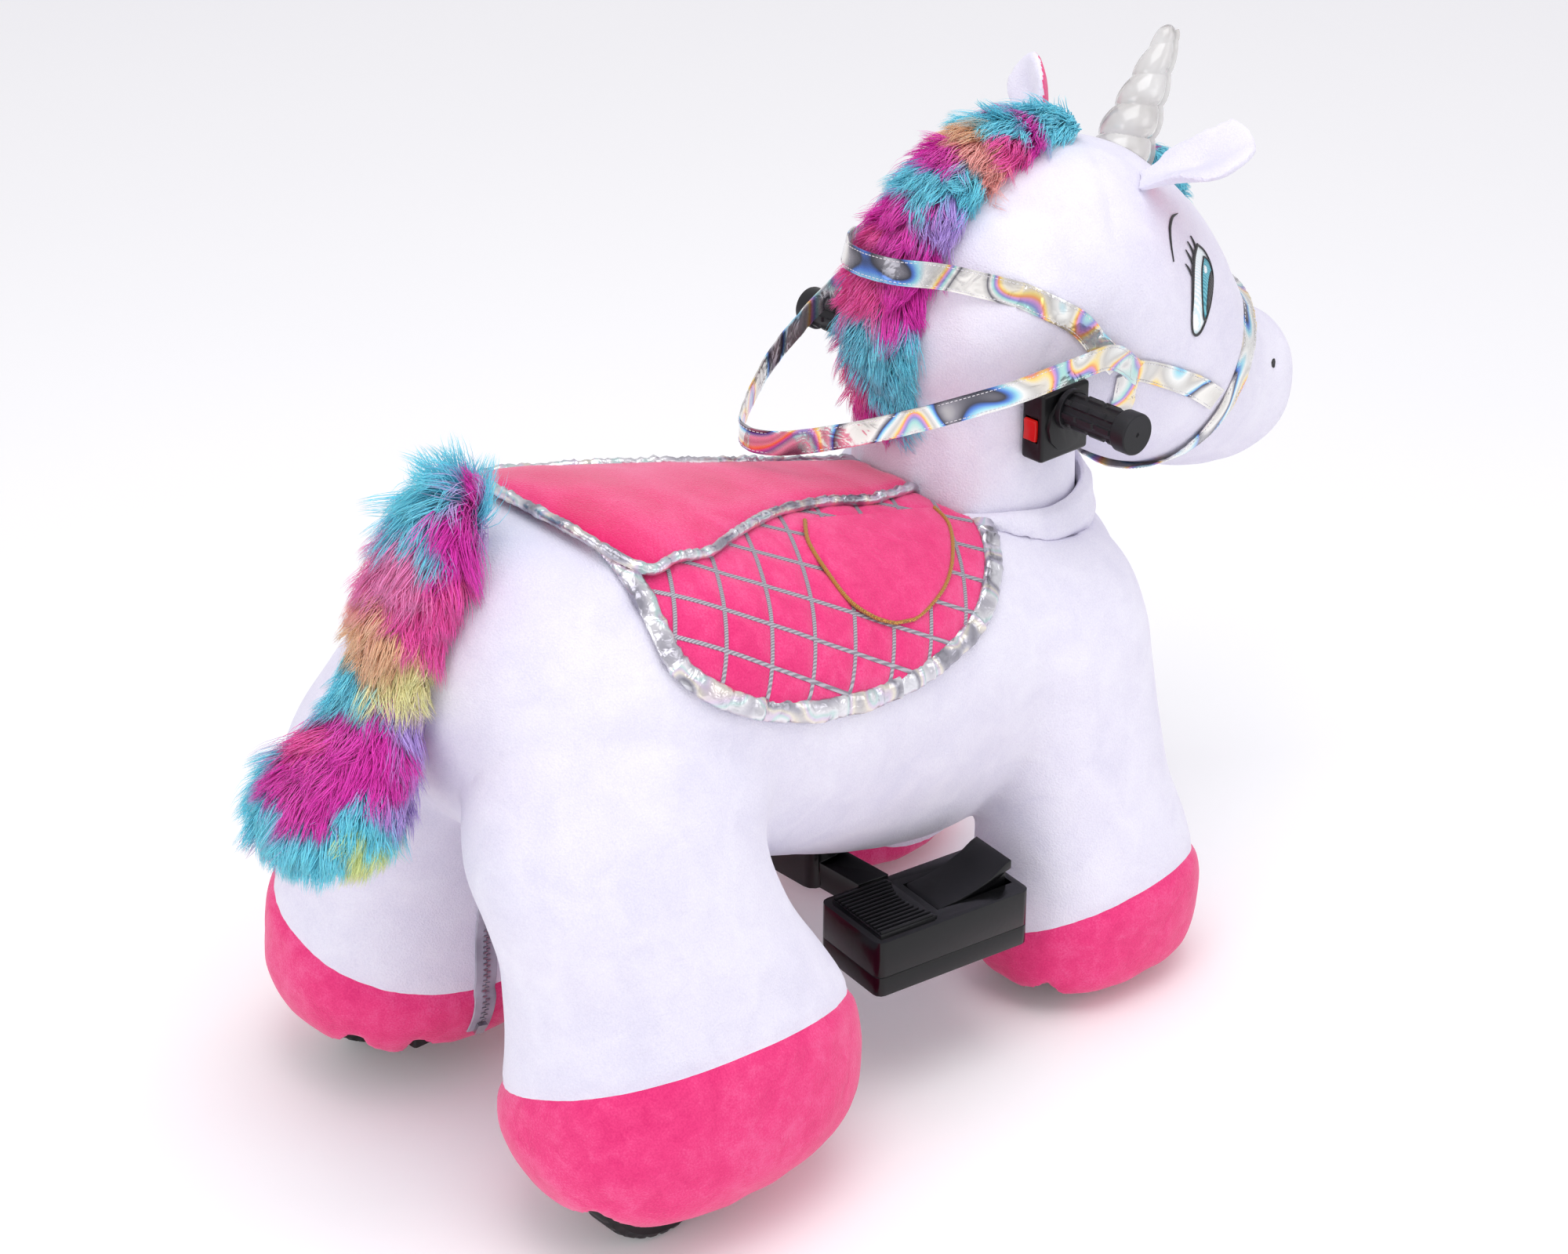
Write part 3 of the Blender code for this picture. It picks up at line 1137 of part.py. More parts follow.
def make_running_gear():
    steel = black_steel()
    for side, word in ((1, "left"), (-1, "right")):
        wheel("wheel_rear_" + word, side * REAR_WHEEL_X, REAR_AXLE_Y, REAR_WHEEL_RADIUS,
              STUB_RADIUS + (GAP if side > 0 else RUNNING))
        wheel("wheel_front_" + word, side * FRONT_WHEEL_X, STEER_Y, FRONT_WHEEL_RADIUS,
              STUB_RADIUS + RUNNING)

        x = side * KINGPIN_X
        foot = FRONT_WHEEL_RADIUS - 1.5 * KINGPIN_RADIUS
        sleeve_base = FRONT_CROSS_Z - 1.5 * CROSS_RADIUS - RUNNING
        sleeve_top = FRONT_CROSS_Z + 1.5 * CROSS_RADIUS + RUNNING
        knuckle = shaft(
            "steering_knuckle_" + word,
            [(0.0, KINGPIN_RADIUS), (sleeve_base - KINGPIN_RADIUS - foot, KINGPIN_RADIUS),
             (sleeve_base - KINGPIN_RADIUS - foot, 1.7 * KINGPIN_RADIUS),
             (sleeve_base - foot, 1.7 * KINGPIN_RADIUS), (sleeve_base - foot, KINGPIN_RADIUS),
             (sleeve_top - foot, KINGPIN_RADIUS), (sleeve_top - foot, 1.5 * KINGPIN_RADIUS),
             (KINGPIN_TOP - foot, 1.5 * KINGPIN_RADIUS)],
            (x, STEER_Y, foot), (x, STEER_Y, KINGPIN_TOP), steel)
        face = FRONT_WHEEL_X + WHEEL_WIDTH / 2
        hub = FRONT_WHEEL_X - WHEEL_WIDTH / 2 - RUNNING

        def stub(bm, side=side):
            fill_shaft(bm, [(0.0, 1.8 * STUB_RADIUS), (hub - KINGPIN_X, 1.8 * STUB_RADIUS),
                            (hub - KINGPIN_X, STUB_RADIUS), (face + RUNNING - KINGPIN_X, STUB_RADIUS),
                            (face + RUNNING - KINGPIN_X, 1.8 * STUB_RADIUS),
                            (face + STUB_RADIUS - KINGPIN_X, 1.8 * STUB_RADIUS)],
                       (side * KINGPIN_X, STEER_Y, FRONT_WHEEL_RADIUS),
                       (side * face, STEER_Y, FRONT_WHEEL_RADIUS))
        joined(knuckle, "stub_axle_" + word, stub)

        def arm(bm, x=x):
            fill_box(bm, (x - STEER_ARM_WIDTH / 2, STEER_Y, STEER_ARM_Z - STEER_ARM_THICKNESS / 2),
                     (x + STEER_ARM_WIDTH / 2, STEER_Y + STEER_ARM + STEER_ARM_WIDTH / 2,
                      STEER_ARM_Z + STEER_ARM_THICKNESS / 2))
        joined(knuckle, "knuckle_arm_" + word, arm)
        cut(knuckle, pin_hole(word, x))

    column_foot = STEER_ARM_Z - STEER_ARM_THICKNESS / 2
    collar_base = HEAD_TUBE_TOP + RUNNING
    collar_radius = COLUMN_RADIUS + HEAD_TUBE_WALL
    collar_height = 2 * HEAD_TUBE_WALL
    column = shaft(
        "steering_column",
        [(0.0, COLUMN_RADIUS), (collar_base - column_foot, COLUMN_RADIUS),
         (collar_base - column_foot, collar_radius),
         (collar_base + collar_height - column_foot, collar_radius),
         (collar_base + collar_height - column_foot, COLUMN_RADIUS),
         (BAR_Z + COLUMN_RADIUS - column_foot, COLUMN_RADIUS)],
        (0, STEER_Y, column_foot), (0, STEER_Y, BAR_Z), steel)

    def pitman(bm):
        fill_box(bm, (-STEER_ARM_WIDTH / 2, STEER_Y, STEER_ARM_Z - STEER_ARM_THICKNESS / 2),
                 (STEER_ARM_WIDTH / 2, STEER_Y + STEER_ARM + STEER_ARM_WIDTH / 2,
                  STEER_ARM_Z + STEER_ARM_THICKNESS / 2))
    joined(column, "pitman_arm", pitman)
    cut(column, pin_hole("middle", 0.0),
        rod("bar_bore", (-HEAD_WIDTH, STEER_Y, BAR_Z), (HEAD_WIDTH, STEER_Y, BAR_Z),
            BAR_RADIUS + GAP, cutter=True))

    top = STEER_ARM_Z - STEER_ARM_THICKNESS / 2 - RUNNING
    reach = KINGPIN_X + STEER_ARM_WIDTH / 2
    tie = box("tie_rod", (-reach, STEER_Y + STEER_ARM - STEER_ARM_WIDTH / 2, top - STEER_ARM_THICKNESS),
              (reach, STEER_Y + STEER_ARM + STEER_ARM_WIDTH / 2, top), steel)
    for word, x in (("left", KINGPIN_X), ("middle", 0.0), ("right", -KINGPIN_X)):
        def pin(bm, x=x):
            fill_rod(bm, (x, STEER_Y + STEER_ARM, top - STEER_ARM_THICKNESS / 2),
                     (x, STEER_Y + STEER_ARM, STEER_ARM_Z + STEER_ARM_THICKNESS), STEER_PIN_RADIUS)
        joined(tie, "tie_pin_" + word, pin)


def pin_hole(word, x):
    y = STEER_Y + STEER_ARM
    return rod("pin_hole_" + word, (x, y, STEER_ARM_Z - STEER_ARM_THICKNESS),
               (x, y, STEER_ARM_Z + STEER_ARM_THICKNESS), STEER_PIN_RADIUS + RUNNING, cutter=True)


def make_handlebar(head_space, neck_space):
    bar_end = GRIP_START + GRIP_LENGTH - FLANGE_LENGTH / 2
    rod("handlebar", (-bar_end, STEER_Y, BAR_Z), (bar_end, STEER_Y, BAR_Z), BAR_RADIUS, black_steel())
    bar_space = rod("bar_space", (-bar_end - GAP, STEER_Y, BAR_Z), (bar_end + GAP, STEER_Y, BAR_Z),
                    BAR_RADIUS + GAP, cutter=True)
    for side, word in ((1, "left"), (-1, "right")):
        body = GRIP_LENGTH - FLANGE_LENGTH
        grip = shaft("grip_" + word,
                     [(0.0, GRIP_RADIUS), (body, GRIP_RADIUS), (body, FLANGE_RADIUS),
                      (GRIP_LENGTH - GAP, FLANGE_RADIUS)],
                     (side * (GRIP_START + COVER_THICKNESS + GAP), STEER_Y, BAR_Z),
                     (side * bar_end, STEER_Y, BAR_Z), material("black_rubber", (0.02, 0.02, 0.02), 0.7),
                     sides=16)
        cut(grip, bar_space)

        xs = sorted((side * (GRIP_START - HOUSING_THICKNESS), side * GRIP_START))
        housing = rounded_box(
            "switch_housing_" + word,
            (xs[0], STEER_Y - HOUSING_DEPTH / 2, HOUSING_Z - HOUSING_HEIGHT / 2),
            (xs[1], STEER_Y + HOUSING_DEPTH / 2, HOUSING_Z + HOUSING_HEIGHT / 2),
            COVER_THICKNESS, black_plastic())

        def cover(bm, side=side):
            fill_rod(bm, (side * (GRIP_START - COVER_THICKNESS), STEER_Y, HOUSING_Z),
                     (side * (GRIP_START + COVER_THICKNESS), STEER_Y, HOUSING_Z), COVER_RADIUS)
        joined(housing, "housing_cover_" + word, cover)
        cut(housing, head_space, neck_space, bar_space)
        if side < 0:
            middle = side * (GRIP_START - HOUSING_THICKNESS / 2)
            rear = STEER_Y + HOUSING_DEPTH / 2
            z = HOUSING_Z - SWITCH_POCKET / 2
            half_w, half_h = SWITCH_WIDTH / 2, SWITCH_HEIGHT / 2
            cut(housing, box("switch_pocket",
                             (middle - half_w - RUNNING, rear - SWITCH_POCKET - RUNNING,
                              z - half_h - 2 * RUNNING),
                             (middle + half_w + RUNNING, rear + OVERRUN, z + half_h + 2 * RUNNING),
                             cutter=True))
            deep = rear - SWITCH_POCKET
            out = deep + SWITCH_THICKNESS
            extruded("rocker_switch",
                     [(deep + RUNNING, z), (rear, z - half_h), (out, z - half_h * 0.9),
                      (out - RUNNING, z), (out, z + half_h * 0.9), (rear, z + half_h)],
                     middle - half_w, middle + half_w,
                     material("red_plastic", (0.70, 0.02, 0.03), 0.3))


def hanger_box(grow=0.0):
    """The corners of the block that holds the foot rest bar under the spine."""
    front = BAR_Y - BAR_WIDTH / 2
    return ((-HANGER_WIDTH / 2 - grow, front - grow, BAR_BASE_Z - grow),
            (HANGER_WIDTH / 2 + grow, front + HANGER_DEPTH + grow, SPINE_Z))


def hanger_hole():
    return box("hanger_hole", *hanger_box(GAP), cutter=True)


def bar_cutter():
    """The groove under the belly that the foot rest bar lies in."""
    return box("bar_groove", (-BOX_X, BAR_Y - BAR_WIDTH / 2 - GAP, BAR_BASE_Z - OVERRUN),
               (BOX_X, BAR_Y + BAR_WIDTH / 2 + GAP, BAR_BASE_Z + BAR_THICKNESS + GAP), cutter=True)


def turn_out(side, objects):
    """Turn one foot rest's pieces about its middle, so that the toes point outward."""
    middle = Matrix.Translation((side * BOX_X, BOX_Y, 0))
    turn = middle @ Matrix.Rotation(side * FOOT_TURN, 4, "Z") @ middle.inverted()
    for obj in objects:
        obj.data.transform(turn)


def make_foot_rests():
    plastic = black_plastic()
    others = set(bpy.data.objects)
    split = BOX_BASE_Z + BOX_SPLIT_SHARE * BOX_HEIGHT
    top = BOX_BASE_Z + BOX_HEIGHT
    front, rear = BOX_Y - BOX_DEPTH / 2, BOX_Y + BOX_DEPTH / 2
    half = BOX_WIDTH / 2
    rounded_box("pedal_box_lower", (-BOX_X - half, front, BOX_BASE_Z), (-BOX_X + half, rear, split - GAP),
                BOX_CORNER, plastic, upright_only=True)
    upper = rounded_box("pedal_box_upper", (-BOX_X - half, front, split), (-BOX_X + half, rear, top),
                        BOX_CORNER, plastic, upright_only=True)
    hinge_y = front + POCKET_MARGIN + PEDAL_LENGTH
    hinge_z = top - PEDAL_BARREL_RADIUS
    plate_inset = BOX_CORNER

    def plate(bm):
        fill_box(bm, (-BOX_X - half + plate_inset, hinge_y + 2 * plate_inset, top - PLATE_RISE),
                 (-BOX_X + half - plate_inset, rear - plate_inset, top + PLATE_RISE))
    joined(upper, "tread_plate", plate)
    half_pedal = PEDAL_WIDTH / 2
    cut(upper,
        box("pedal_pocket", (-BOX_X - half_pedal - RUNNING, front + POCKET_MARGIN - RUNNING,
                             top - POCKET_DEPTH),
            (-BOX_X + half_pedal + RUNNING, hinge_y + PEDAL_BARREL_RADIUS + RUNNING, top + OVERRUN),
            cutter=True),
        rod("pedal_pin_hole", (-BOX_X - half_pedal - PEDAL_PIN_REACH - GAP, hinge_y, hinge_z),
            (-BOX_X + half_pedal + PEDAL_PIN_REACH + GAP, hinge_y, hinge_z),
            PEDAL_PIN_RADIUS + GAP, cutter=True))

    # The pedal's side view: its top dips and rises towards the toe
    top_shares = [(0.0, 0.0), (0.25, 0.06), (0.5, 0.24), (0.75, 0.56), (0.92, 0.92), (1.0, 1.0)]
    outline = []
    for along, up in top_shares:
        outline.append((hinge_y - along * (PEDAL_LENGTH - RUNNING), top + up * PEDAL_RISE))
    for along, up in reversed(top_shares):
        outline.append((hinge_y - along * (PEDAL_LENGTH - RUNNING),
                        top + up * PEDAL_RISE - PEDAL_THICKNESS))
    pedal = extruded("accelerator_pedal", outline, -BOX_X - half_pedal, -BOX_X + half_pedal, plastic)

    def barrel(bm):
        fill_rod(bm, (-BOX_X - half_pedal, hinge_y, hinge_z), (-BOX_X + half_pedal, hinge_y, hinge_z),
                 PEDAL_BARREL_RADIUS)
    joined(pedal, "pedal_barrel", barrel)

    def pin(bm):
        fill_rod(bm, (-BOX_X - half_pedal - PEDAL_PIN_REACH, hinge_y, hinge_z),
                 (-BOX_X + half_pedal + PEDAL_PIN_REACH, hinge_y, hinge_z), PEDAL_PIN_RADIUS)
    joined(pedal, "pedal_pin", pin)

    turn_out(-1, set(bpy.data.objects) - others)

    rest = rounded_box("foot_rest_left", (BOX_X - half, front, BOX_BASE_Z), (BOX_X + half, rear, top),
                       BOX_CORNER, plastic, upright_only=True)
    turn_out(1, [rest])
    bar = box("foot_rest_bar", (-BOX_X, BAR_Y - BAR_WIDTH / 2, BAR_BASE_Z),
              (BOX_X, BAR_Y + BAR_WIDTH / 2, BAR_BASE_Z + BAR_THICKNESS), plastic)
    cut(bar, rounded_box("hanger", *hanger_box(), HANGER_CORNER, None, upright_only=True, cutter=True),
        operation="UNION")
    spaces = [spine_space()]
    for side, word in ((1, "left"), (-1, "right")):
        xs = sorted((side * (BOX_X - half - GAP), side * (BOX_X + half + OVERRUN)))
        space = box("foot_rest_space_" + word, (xs[0], front - OVERRUN, BOX_BASE_Z - OVERRUN),
                    (xs[1], rear + OVERRUN, top + OVERRUN), cutter=True)
        turn_out(side, [space])
        spaces.append(space)
    cut(bar, *spaces)


def make_electrics():
    plastic = black_plastic()
    rounded_box("gearbox", (GEAR_LOW_X, REAR_AXLE_Y - GEAR_HALF, GEAR_BASE_Z),
                (GEAR_HIGH_X, REAR_AXLE_Y + GEAR_HALF - GEAR_STEP, GEAR_TOP), GEAR_STEP / 2, plastic,
                upright_only=True)
    cut(bpy.data.objects["gearbox"],
        rod("shaft_bore", (GEAR_LOW_X + GEAR_STEP, REAR_AXLE_Y, REAR_WHEEL_RADIUS),
            (REAR_WHEEL_X, REAR_AXLE_Y, REAR_WHEEL_RADIUS), STUB_RADIUS + RUNNING, cutter=True))
    middle = (GEAR_LOW_X + GEAR_HIGH_X) / 2
    rod("drive_motor", (middle, REAR_AXLE_Y, GEAR_TOP + GAP), (middle, REAR_AXLE_Y, MOTOR_TOP),
        MOTOR_RADIUS, material("motor_steel", (0.55, 0.56, 0.58), 0.35, 0.9))

    top = SPINE_Z - SPINE_RADIUS - GAP
    half_w, half_l = BATTERY_WIDTH / 2, BATTERY_LENGTH / 2
    box("battery", (-half_w, BATTERY_Y - half_l, top - BATTERY_HEIGHT), (half_w, BATTERY_Y + half_l, top),
        material("battery_grey", (0.25, 0.26, 0.28), 0.6))
    wall = GAP + TRAY_WALL
    tray = box("battery_tray",
               (-half_w - wall, BATTERY_Y - half_l - wall, top - BATTERY_HEIGHT - wall),
               (half_w + wall, BATTERY_Y + half_l + wall, SPINE_Z), plastic)
    cut(tray,
        box("battery_space", (-half_w - GAP, BATTERY_Y - half_l - GAP, top - BATTERY_HEIGHT - GAP),
            (half_w + GAP, BATTERY_Y + half_l + GAP, SPINE_Z + OVERRUN), cutter=True),
        spine_space())
    half_w, half_l = CONTROL_WIDTH / 2, CONTROL_LENGTH / 2
    control = box("control_box", (-half_w, CONTROL_Y - half_l, CONTROL_BASE_Z),
                  (half_w, CONTROL_Y + half_l, SPINE_Z), plastic)
    cut(control, spine_space())


def make_parts():
    start()
    tree = head_tree()
    torso_space, head_space, neck_space = make_plush()
    make_horn_and_ears(head_space)
    make_fur(tree, head_space, torso_space, neck_space)
    make_saddle(torso_space)
    make_bridle(tree, head_space)
    make_frame()
    make_running_gear()
    make_handlebar(head_space, neck_space)
    make_foot_rests()
    make_electrics()


make_parts()
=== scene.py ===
# %% [markdown]
# # A plush ride-on animal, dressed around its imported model
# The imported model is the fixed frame: it says where each body and joint is. This script gives it
# its looks, one soft or hard piece at a time. The animal faces -Y, its right side is -X and the
# floor is z = 0. All lengths are in metres.

import math
import random

import bmesh
import bpy
import numpy as np
from mathutils import Matrix, Vector, noise
from mathutils.bvhtree import BVHTree
from mathutils.kdtree import KDTree


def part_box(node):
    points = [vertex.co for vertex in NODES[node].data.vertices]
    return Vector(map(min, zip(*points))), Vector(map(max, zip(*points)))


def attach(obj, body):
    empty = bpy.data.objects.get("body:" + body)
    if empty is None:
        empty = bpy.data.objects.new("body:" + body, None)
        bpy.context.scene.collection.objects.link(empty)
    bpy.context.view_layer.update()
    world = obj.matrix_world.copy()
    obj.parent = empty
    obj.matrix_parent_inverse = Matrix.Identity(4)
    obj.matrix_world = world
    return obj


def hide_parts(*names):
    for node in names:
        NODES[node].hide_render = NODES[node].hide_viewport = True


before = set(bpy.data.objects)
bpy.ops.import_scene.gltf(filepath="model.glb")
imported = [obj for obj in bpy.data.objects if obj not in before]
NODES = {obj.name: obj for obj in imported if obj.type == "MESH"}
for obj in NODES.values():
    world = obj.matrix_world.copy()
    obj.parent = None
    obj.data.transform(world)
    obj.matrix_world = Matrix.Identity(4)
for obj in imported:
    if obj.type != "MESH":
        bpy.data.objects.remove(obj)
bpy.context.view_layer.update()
TURN = 2 * math.pi
MERGE = 0.00001         # points closer than this are one point
print("frame loaded:", len(NODES), "nodes")

# %% [markdown]
# ## Camera
# The photograph looks down at the animal from behind its right flank. The place, the angles and
# the 75 mm lens were found by matching known points of the model to the picture.

# %% Camera
CAMERA_PLACE = Vector((-1.6664, 1.5571, 1.4606))
CAMERA_YAW, CAMERA_PITCH = -0.7361, -0.466
SENSOR, LENS = 36.0, 74.994

look = Vector((math.cos(CAMERA_PITCH) * math.cos(CAMERA_YAW),
               math.cos(CAMERA_PITCH) * math.sin(CAMERA_YAW), math.sin(CAMERA_PITCH)))
camera_data = bpy.data.cameras.new("camera")
camera_data.sensor_width, camera_data.lens = SENSOR, LENS
camera = bpy.data.objects.new("camera", camera_data)
camera.location = CAMERA_PLACE
camera.rotation_euler = look.to_track_quat("-Z", "Y").to_euler()
bpy.context.scene.collection.objects.link(camera)
bpy.context.scene.camera = camera
VIEW_RIGHT = look.cross(Vector((0, 0, 1))).normalized()
print("camera looks along", tuple(round(a, 3) for a in look))
bpy.context.scene.view_settings.view_transform = "Standard"     # white plush stays white

# %% [markdown]
# ## Helpers for materials
# Every colour is written as an sRGB hex value, as a colour picker shows it, and one function turns
# it to the linear numbers that Blender's sockets take. One small function adds a node of any kind.

# %% Material helpers
def linear(code):
    """An sRGB hex colour as linear red, green, blue and alpha."""
    parts = [int(code[i:i + 2], 16) / 255 for i in (1, 3, 5)]
    return tuple(c / 12.92 if c <= 0.04045 else ((c + 0.055) / 1.055) ** 2.4 for c in parts) + (1.0,)


def add(tree, kind, links=None, values=None, **settings):
    """Adds a node, sets its settings and socket values, and links outputs to its inputs."""
    node = tree.nodes.new(kind)
    for key, value in settings.items():
        setattr(node, key, value)
    for key, value in (values or {}).items():
        node.inputs[key].default_value = value
    for key, output in (links or {}).items():
        tree.links.new(output, node.inputs[key])
    return node


def new_finish(name, **values):
    """A material with its Principled shader's constants set: returns it, its tree and the shader."""
    made = bpy.data.materials.new(name)
    made.use_nodes = True
    tree = made.node_tree
    tree.nodes.clear()
    shader = add(tree, "ShaderNodeBsdfPrincipled")
    for key, value in values.items():
        shader.inputs[key.replace("_", " ")].default_value = value
    add(tree, "ShaderNodeOutputMaterial", {"Surface": shader.outputs[0]})
    return made, tree, shader


def ramp(tree, factor, *stops):
    """A colour ramp through (position, hex colour) stops."""
    node = add(tree, "ShaderNodeValToRGB", {"Fac": factor})
    band = node.color_ramp
    while len(band.elements) < len(stops):
        band.elements.new(0.5)
    for element, (position, code) in zip(band.elements, stops):
        element.position, element.color = position, linear(code)
    return node.outputs["Color"]


def size_noise(tree, place, size, detail=2.0, distortion=0.0):
    """Noise whose blobs are about size metres across."""
    return add(tree, "ShaderNodeTexNoise", {"Vector": place},
               {"Scale": 1 / size, "Detail": detail, "Distortion": distortion}).outputs["Fac"]


def bumped(tree, shader, *layers):
    """Chains bump nodes of (height output, distance in metres, strength) into the shader."""
    normal = None
    for height, distance, strength in layers:
        node = add(tree, "ShaderNodeBump", {"Height": height},
                   {"Distance": distance, "Strength": strength})
        if normal:
            tree.links.new(normal, node.inputs["Normal"])
        normal = node.outputs["Normal"]
    tree.links.new(normal, shader.inputs["Normal"])


def object_place(tree):
    return add(tree, "ShaderNodeTexCoord").outputs["Object"]


print("material helpers ready")

# %% [markdown]
# ## Stage
# A plain pale floor, and the even, soft light of a product studio: a bright surrounding, a broad
# softbox above, one from the left and a weak one in front. The floor is white acrylic, lit a little
# from below, so that it stays paler than the plush. The surrounding has a few grey bands, as a
# studio has gaps between its softboxes, so that the shiny straps have something to reflect.

# %% Floor and light
floor_finish, floor_tree, floor_shader = new_finish("backlit_acrylic_floor", Roughness=0.85,
                                                    Emission_Color=linear("#FFFFFF"),
                                                    Emission_Strength=0.05)
floor_tone = size_noise(floor_tree, object_place(floor_tree), 0.9)
floor_tree.links.new(ramp(floor_tree, floor_tone, (0.0, "#FDFDFE"), (1.0, "#FFFFFF")),
                     floor_shader.inputs["Base Color"])
floor_bm = bmesh.new()
bmesh.ops.create_grid(floor_bm, x_segments=8, y_segments=8, size=9)
floor_mesh = bpy.data.meshes.new("floor")
floor_bm.to_mesh(floor_mesh)
floor_bm.free()
floor = bpy.data.objects.new("floor", floor_mesh)
floor_mesh.materials.append(floor_finish)
bpy.context.scene.collection.objects.link(floor)

world = bpy.data.worlds.new("studio")
world.use_nodes = True
sky = world.node_tree
sky.nodes.clear()
around = add(sky, "ShaderNodeTexCoord").outputs["Generated"]
panels = add(sky, "ShaderNodeTexNoise", {"Vector": around},
             {"Scale": 1.6, "Detail": 1.0}).outputs["Fac"]
wall = ramp(sky, panels, (0.0, "#FFFFFF"), (0.40, "#F8F6FD"), (0.56, "#FFFFFF"), (0.60, "#CCC9D8"),
            (0.66, "#FFFFFF"))
add(sky, "ShaderNodeOutputWorld",
    {"Surface": add(sky, "ShaderNodeBackground", {"Color": wall}, {"Strength": 0.80}).outputs[0]})
bpy.context.scene.world = world


def softbox(name, place, aim, size, watts):
    """A square white light that looks at a point."""
    data = bpy.data.lights.new(name, "AREA")
    data.size, data.energy = size, watts
    lamp = bpy.data.objects.new(name, data)
    lamp.location = place
    lamp.rotation_euler = (Vector(aim) - Vector(place)).to_track_quat("-Z", "Y").to_euler()
    bpy.context.scene.collection.objects.link(lamp)


softbox("softbox_above", (-0.5, 0.3, 2.6), (0, 0, 0.3), 1.8, 24)
softbox("softbox_left", (-0.6, 2.6, 1.3), (0, 0, 0.35), 1.4, 12)
softbox("softbox_front", (-2.4, -1.2, 1.1), (0, -0.2, 0.4), 1.2, 6)
print("stage ready")

# %% [markdown]
# ## Helpers for shapes
# Most soft and bent pieces start as a flat grid from bmesh, whose points are then moved to their
# place by a function of u and v, which both run from 0 to 1. Where two edges of the grid meet, as
# on a tube, their points are merged.

# %% Shape helpers
def formed(columns, rows, place, caps=False):
    """A grid whose points move to place(u, v), with a UV map that keeps u and v."""
    bm = bmesh.new()
    bm.loops.layers.uv.new("UVMap")
    bmesh.ops.create_grid(bm, x_segments=columns, y_segments=rows, size=1, calc_uvs=True)
    for vert in bm.verts:
        vert.co = place((vert.co.x + 1) / 2, (vert.co.y + 1) / 2)
    bmesh.ops.remove_doubles(bm, verts=bm.verts[:], dist=MERGE)
    if caps:
        bmesh.ops.holes_fill(bm, edges=[e for e in bm.edges if e.is_boundary], sides=0)
    bmesh.ops.recalc_face_normals(bm, faces=bm.faces[:])
    return bm


def together(*parts):
    """One bmesh from several, which are freed."""
    whole = bmesh.new()
    whole.loops.layers.uv.new("UVMap")
    for bm in parts:
        mesh = bpy.data.meshes.new("passing")
        bm.to_mesh(mesh)
        bm.free()
        whole.from_mesh(mesh)
        bpy.data.meshes.remove(mesh)
    return whole


def piece(name, bm, finishes, body, replaced=(), sharp=40):
    """Makes the finished object and ties it to its body."""
    mesh = bpy.data.meshes.new(name)
    bm.to_mesh(mesh)
    bm.free()
    for finish in finishes if isinstance(finishes, (list, tuple)) else [finishes]:
        mesh.materials.append(finish)
    mesh.shade_smooth()
    mesh.set_sharp_from_angle(angle=math.radians(sharp))
    made = bpy.data.objects.new(name, mesh)
    bpy.context.scene.collection.objects.link(made)
    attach(made, body)
    if replaced:
        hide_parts(*replaced)
    print(name, len(mesh.polygons), "faces")
    return made


def cad_copy(*names):
    """A merged copy of one or more CAD nodes."""
    bm = bmesh.new()
    for name in names:
        bm.from_mesh(NODES[name].data)
    bmesh.ops.remove_doubles(bm, verts=bm.verts[:], dist=MERGE)
    return bm


def tree_of(bm):
    return BVHTree.FromBMesh(bm)


def smoothed(bm, verts, rounds):
    """Moves those points half way towards their neighbours, round by round."""
    for _ in range(rounds):
        bmesh.ops.smooth_vert(bm, verts=verts, factor=0.5, use_axis_x=True, use_axis_y=True,
                              use_axis_z=True)


def remeshed(bm, voxel, rounds=0):
    """The same solids as one even skin of small squares, smoothed that many rounds."""
    mesh = bpy.data.meshes.new("passing")
    bm.to_mesh(mesh)
    bm.free()
    passing = bpy.data.objects.new("passing", mesh)
    bpy.context.scene.collection.objects.link(passing)
    modifier = passing.modifiers.new("even skin", "REMESH")
    modifier.mode, modifier.voxel_size = "VOXEL", voxel
    skin = bpy.data.meshes.new_from_object(passing.evaluated_get(bpy.context.evaluated_depsgraph_get()))
    bpy.data.objects.remove(passing)
    made = bmesh.new()
    made.from_mesh(skin)
    bpy.data.meshes.remove(skin)
    smoothed(made, made.verts[:], rounds)
    return made


def rippled(bm, amounts):
    """Pushes each point in or out by noise: amounts holds (size of a swell, how far)."""
    bm.normal_update()
    moves = []
    for vert in bm.verts:
        push = sum(far * noise.noise(vert.co / size + Vector((3.1, 7.7, 1.3)) / size)
                   for size, far in amounts)
        moves.append((vert, vert.normal * push))
    for vert, move in moves:
        vert.co += move


def nearest_of(points):
    """A function that gives the index of the nearest of these points."""
    found = KDTree(len(points))
    for i, point in enumerate(points):
        found.insert(point, i)
    found.balance()
    return lambda point: found.find(point)[1]


print("shape helpers ready")

# %% [markdown]
# ## The body's own lines
# The torso, the head and the limbs were drawn in the CAD as rings that follow tables of shares. The
# scene can't read that file, so it repeats the tables it needs. They serve to find a point on the
# body from a place along it and an angle from the top, which is how the saddle, the straps and the
# face were measured.

# %% Tables of the torso and the head
TORSO_SQUARENESS, HEAD_SQUARENESS, LIMB_SQUARENESS = 2.15, 2.1, 2.3     # 2 is a true oval
TORSO_LENGTH, TORSO_HEIGHT, TORSO_WIDTH = 0.665, 0.310, 0.340
TORSO_FRONT_Y, TORSO_BASE_Z, BELLY_DROP = -0.263, 0.195, 0.075
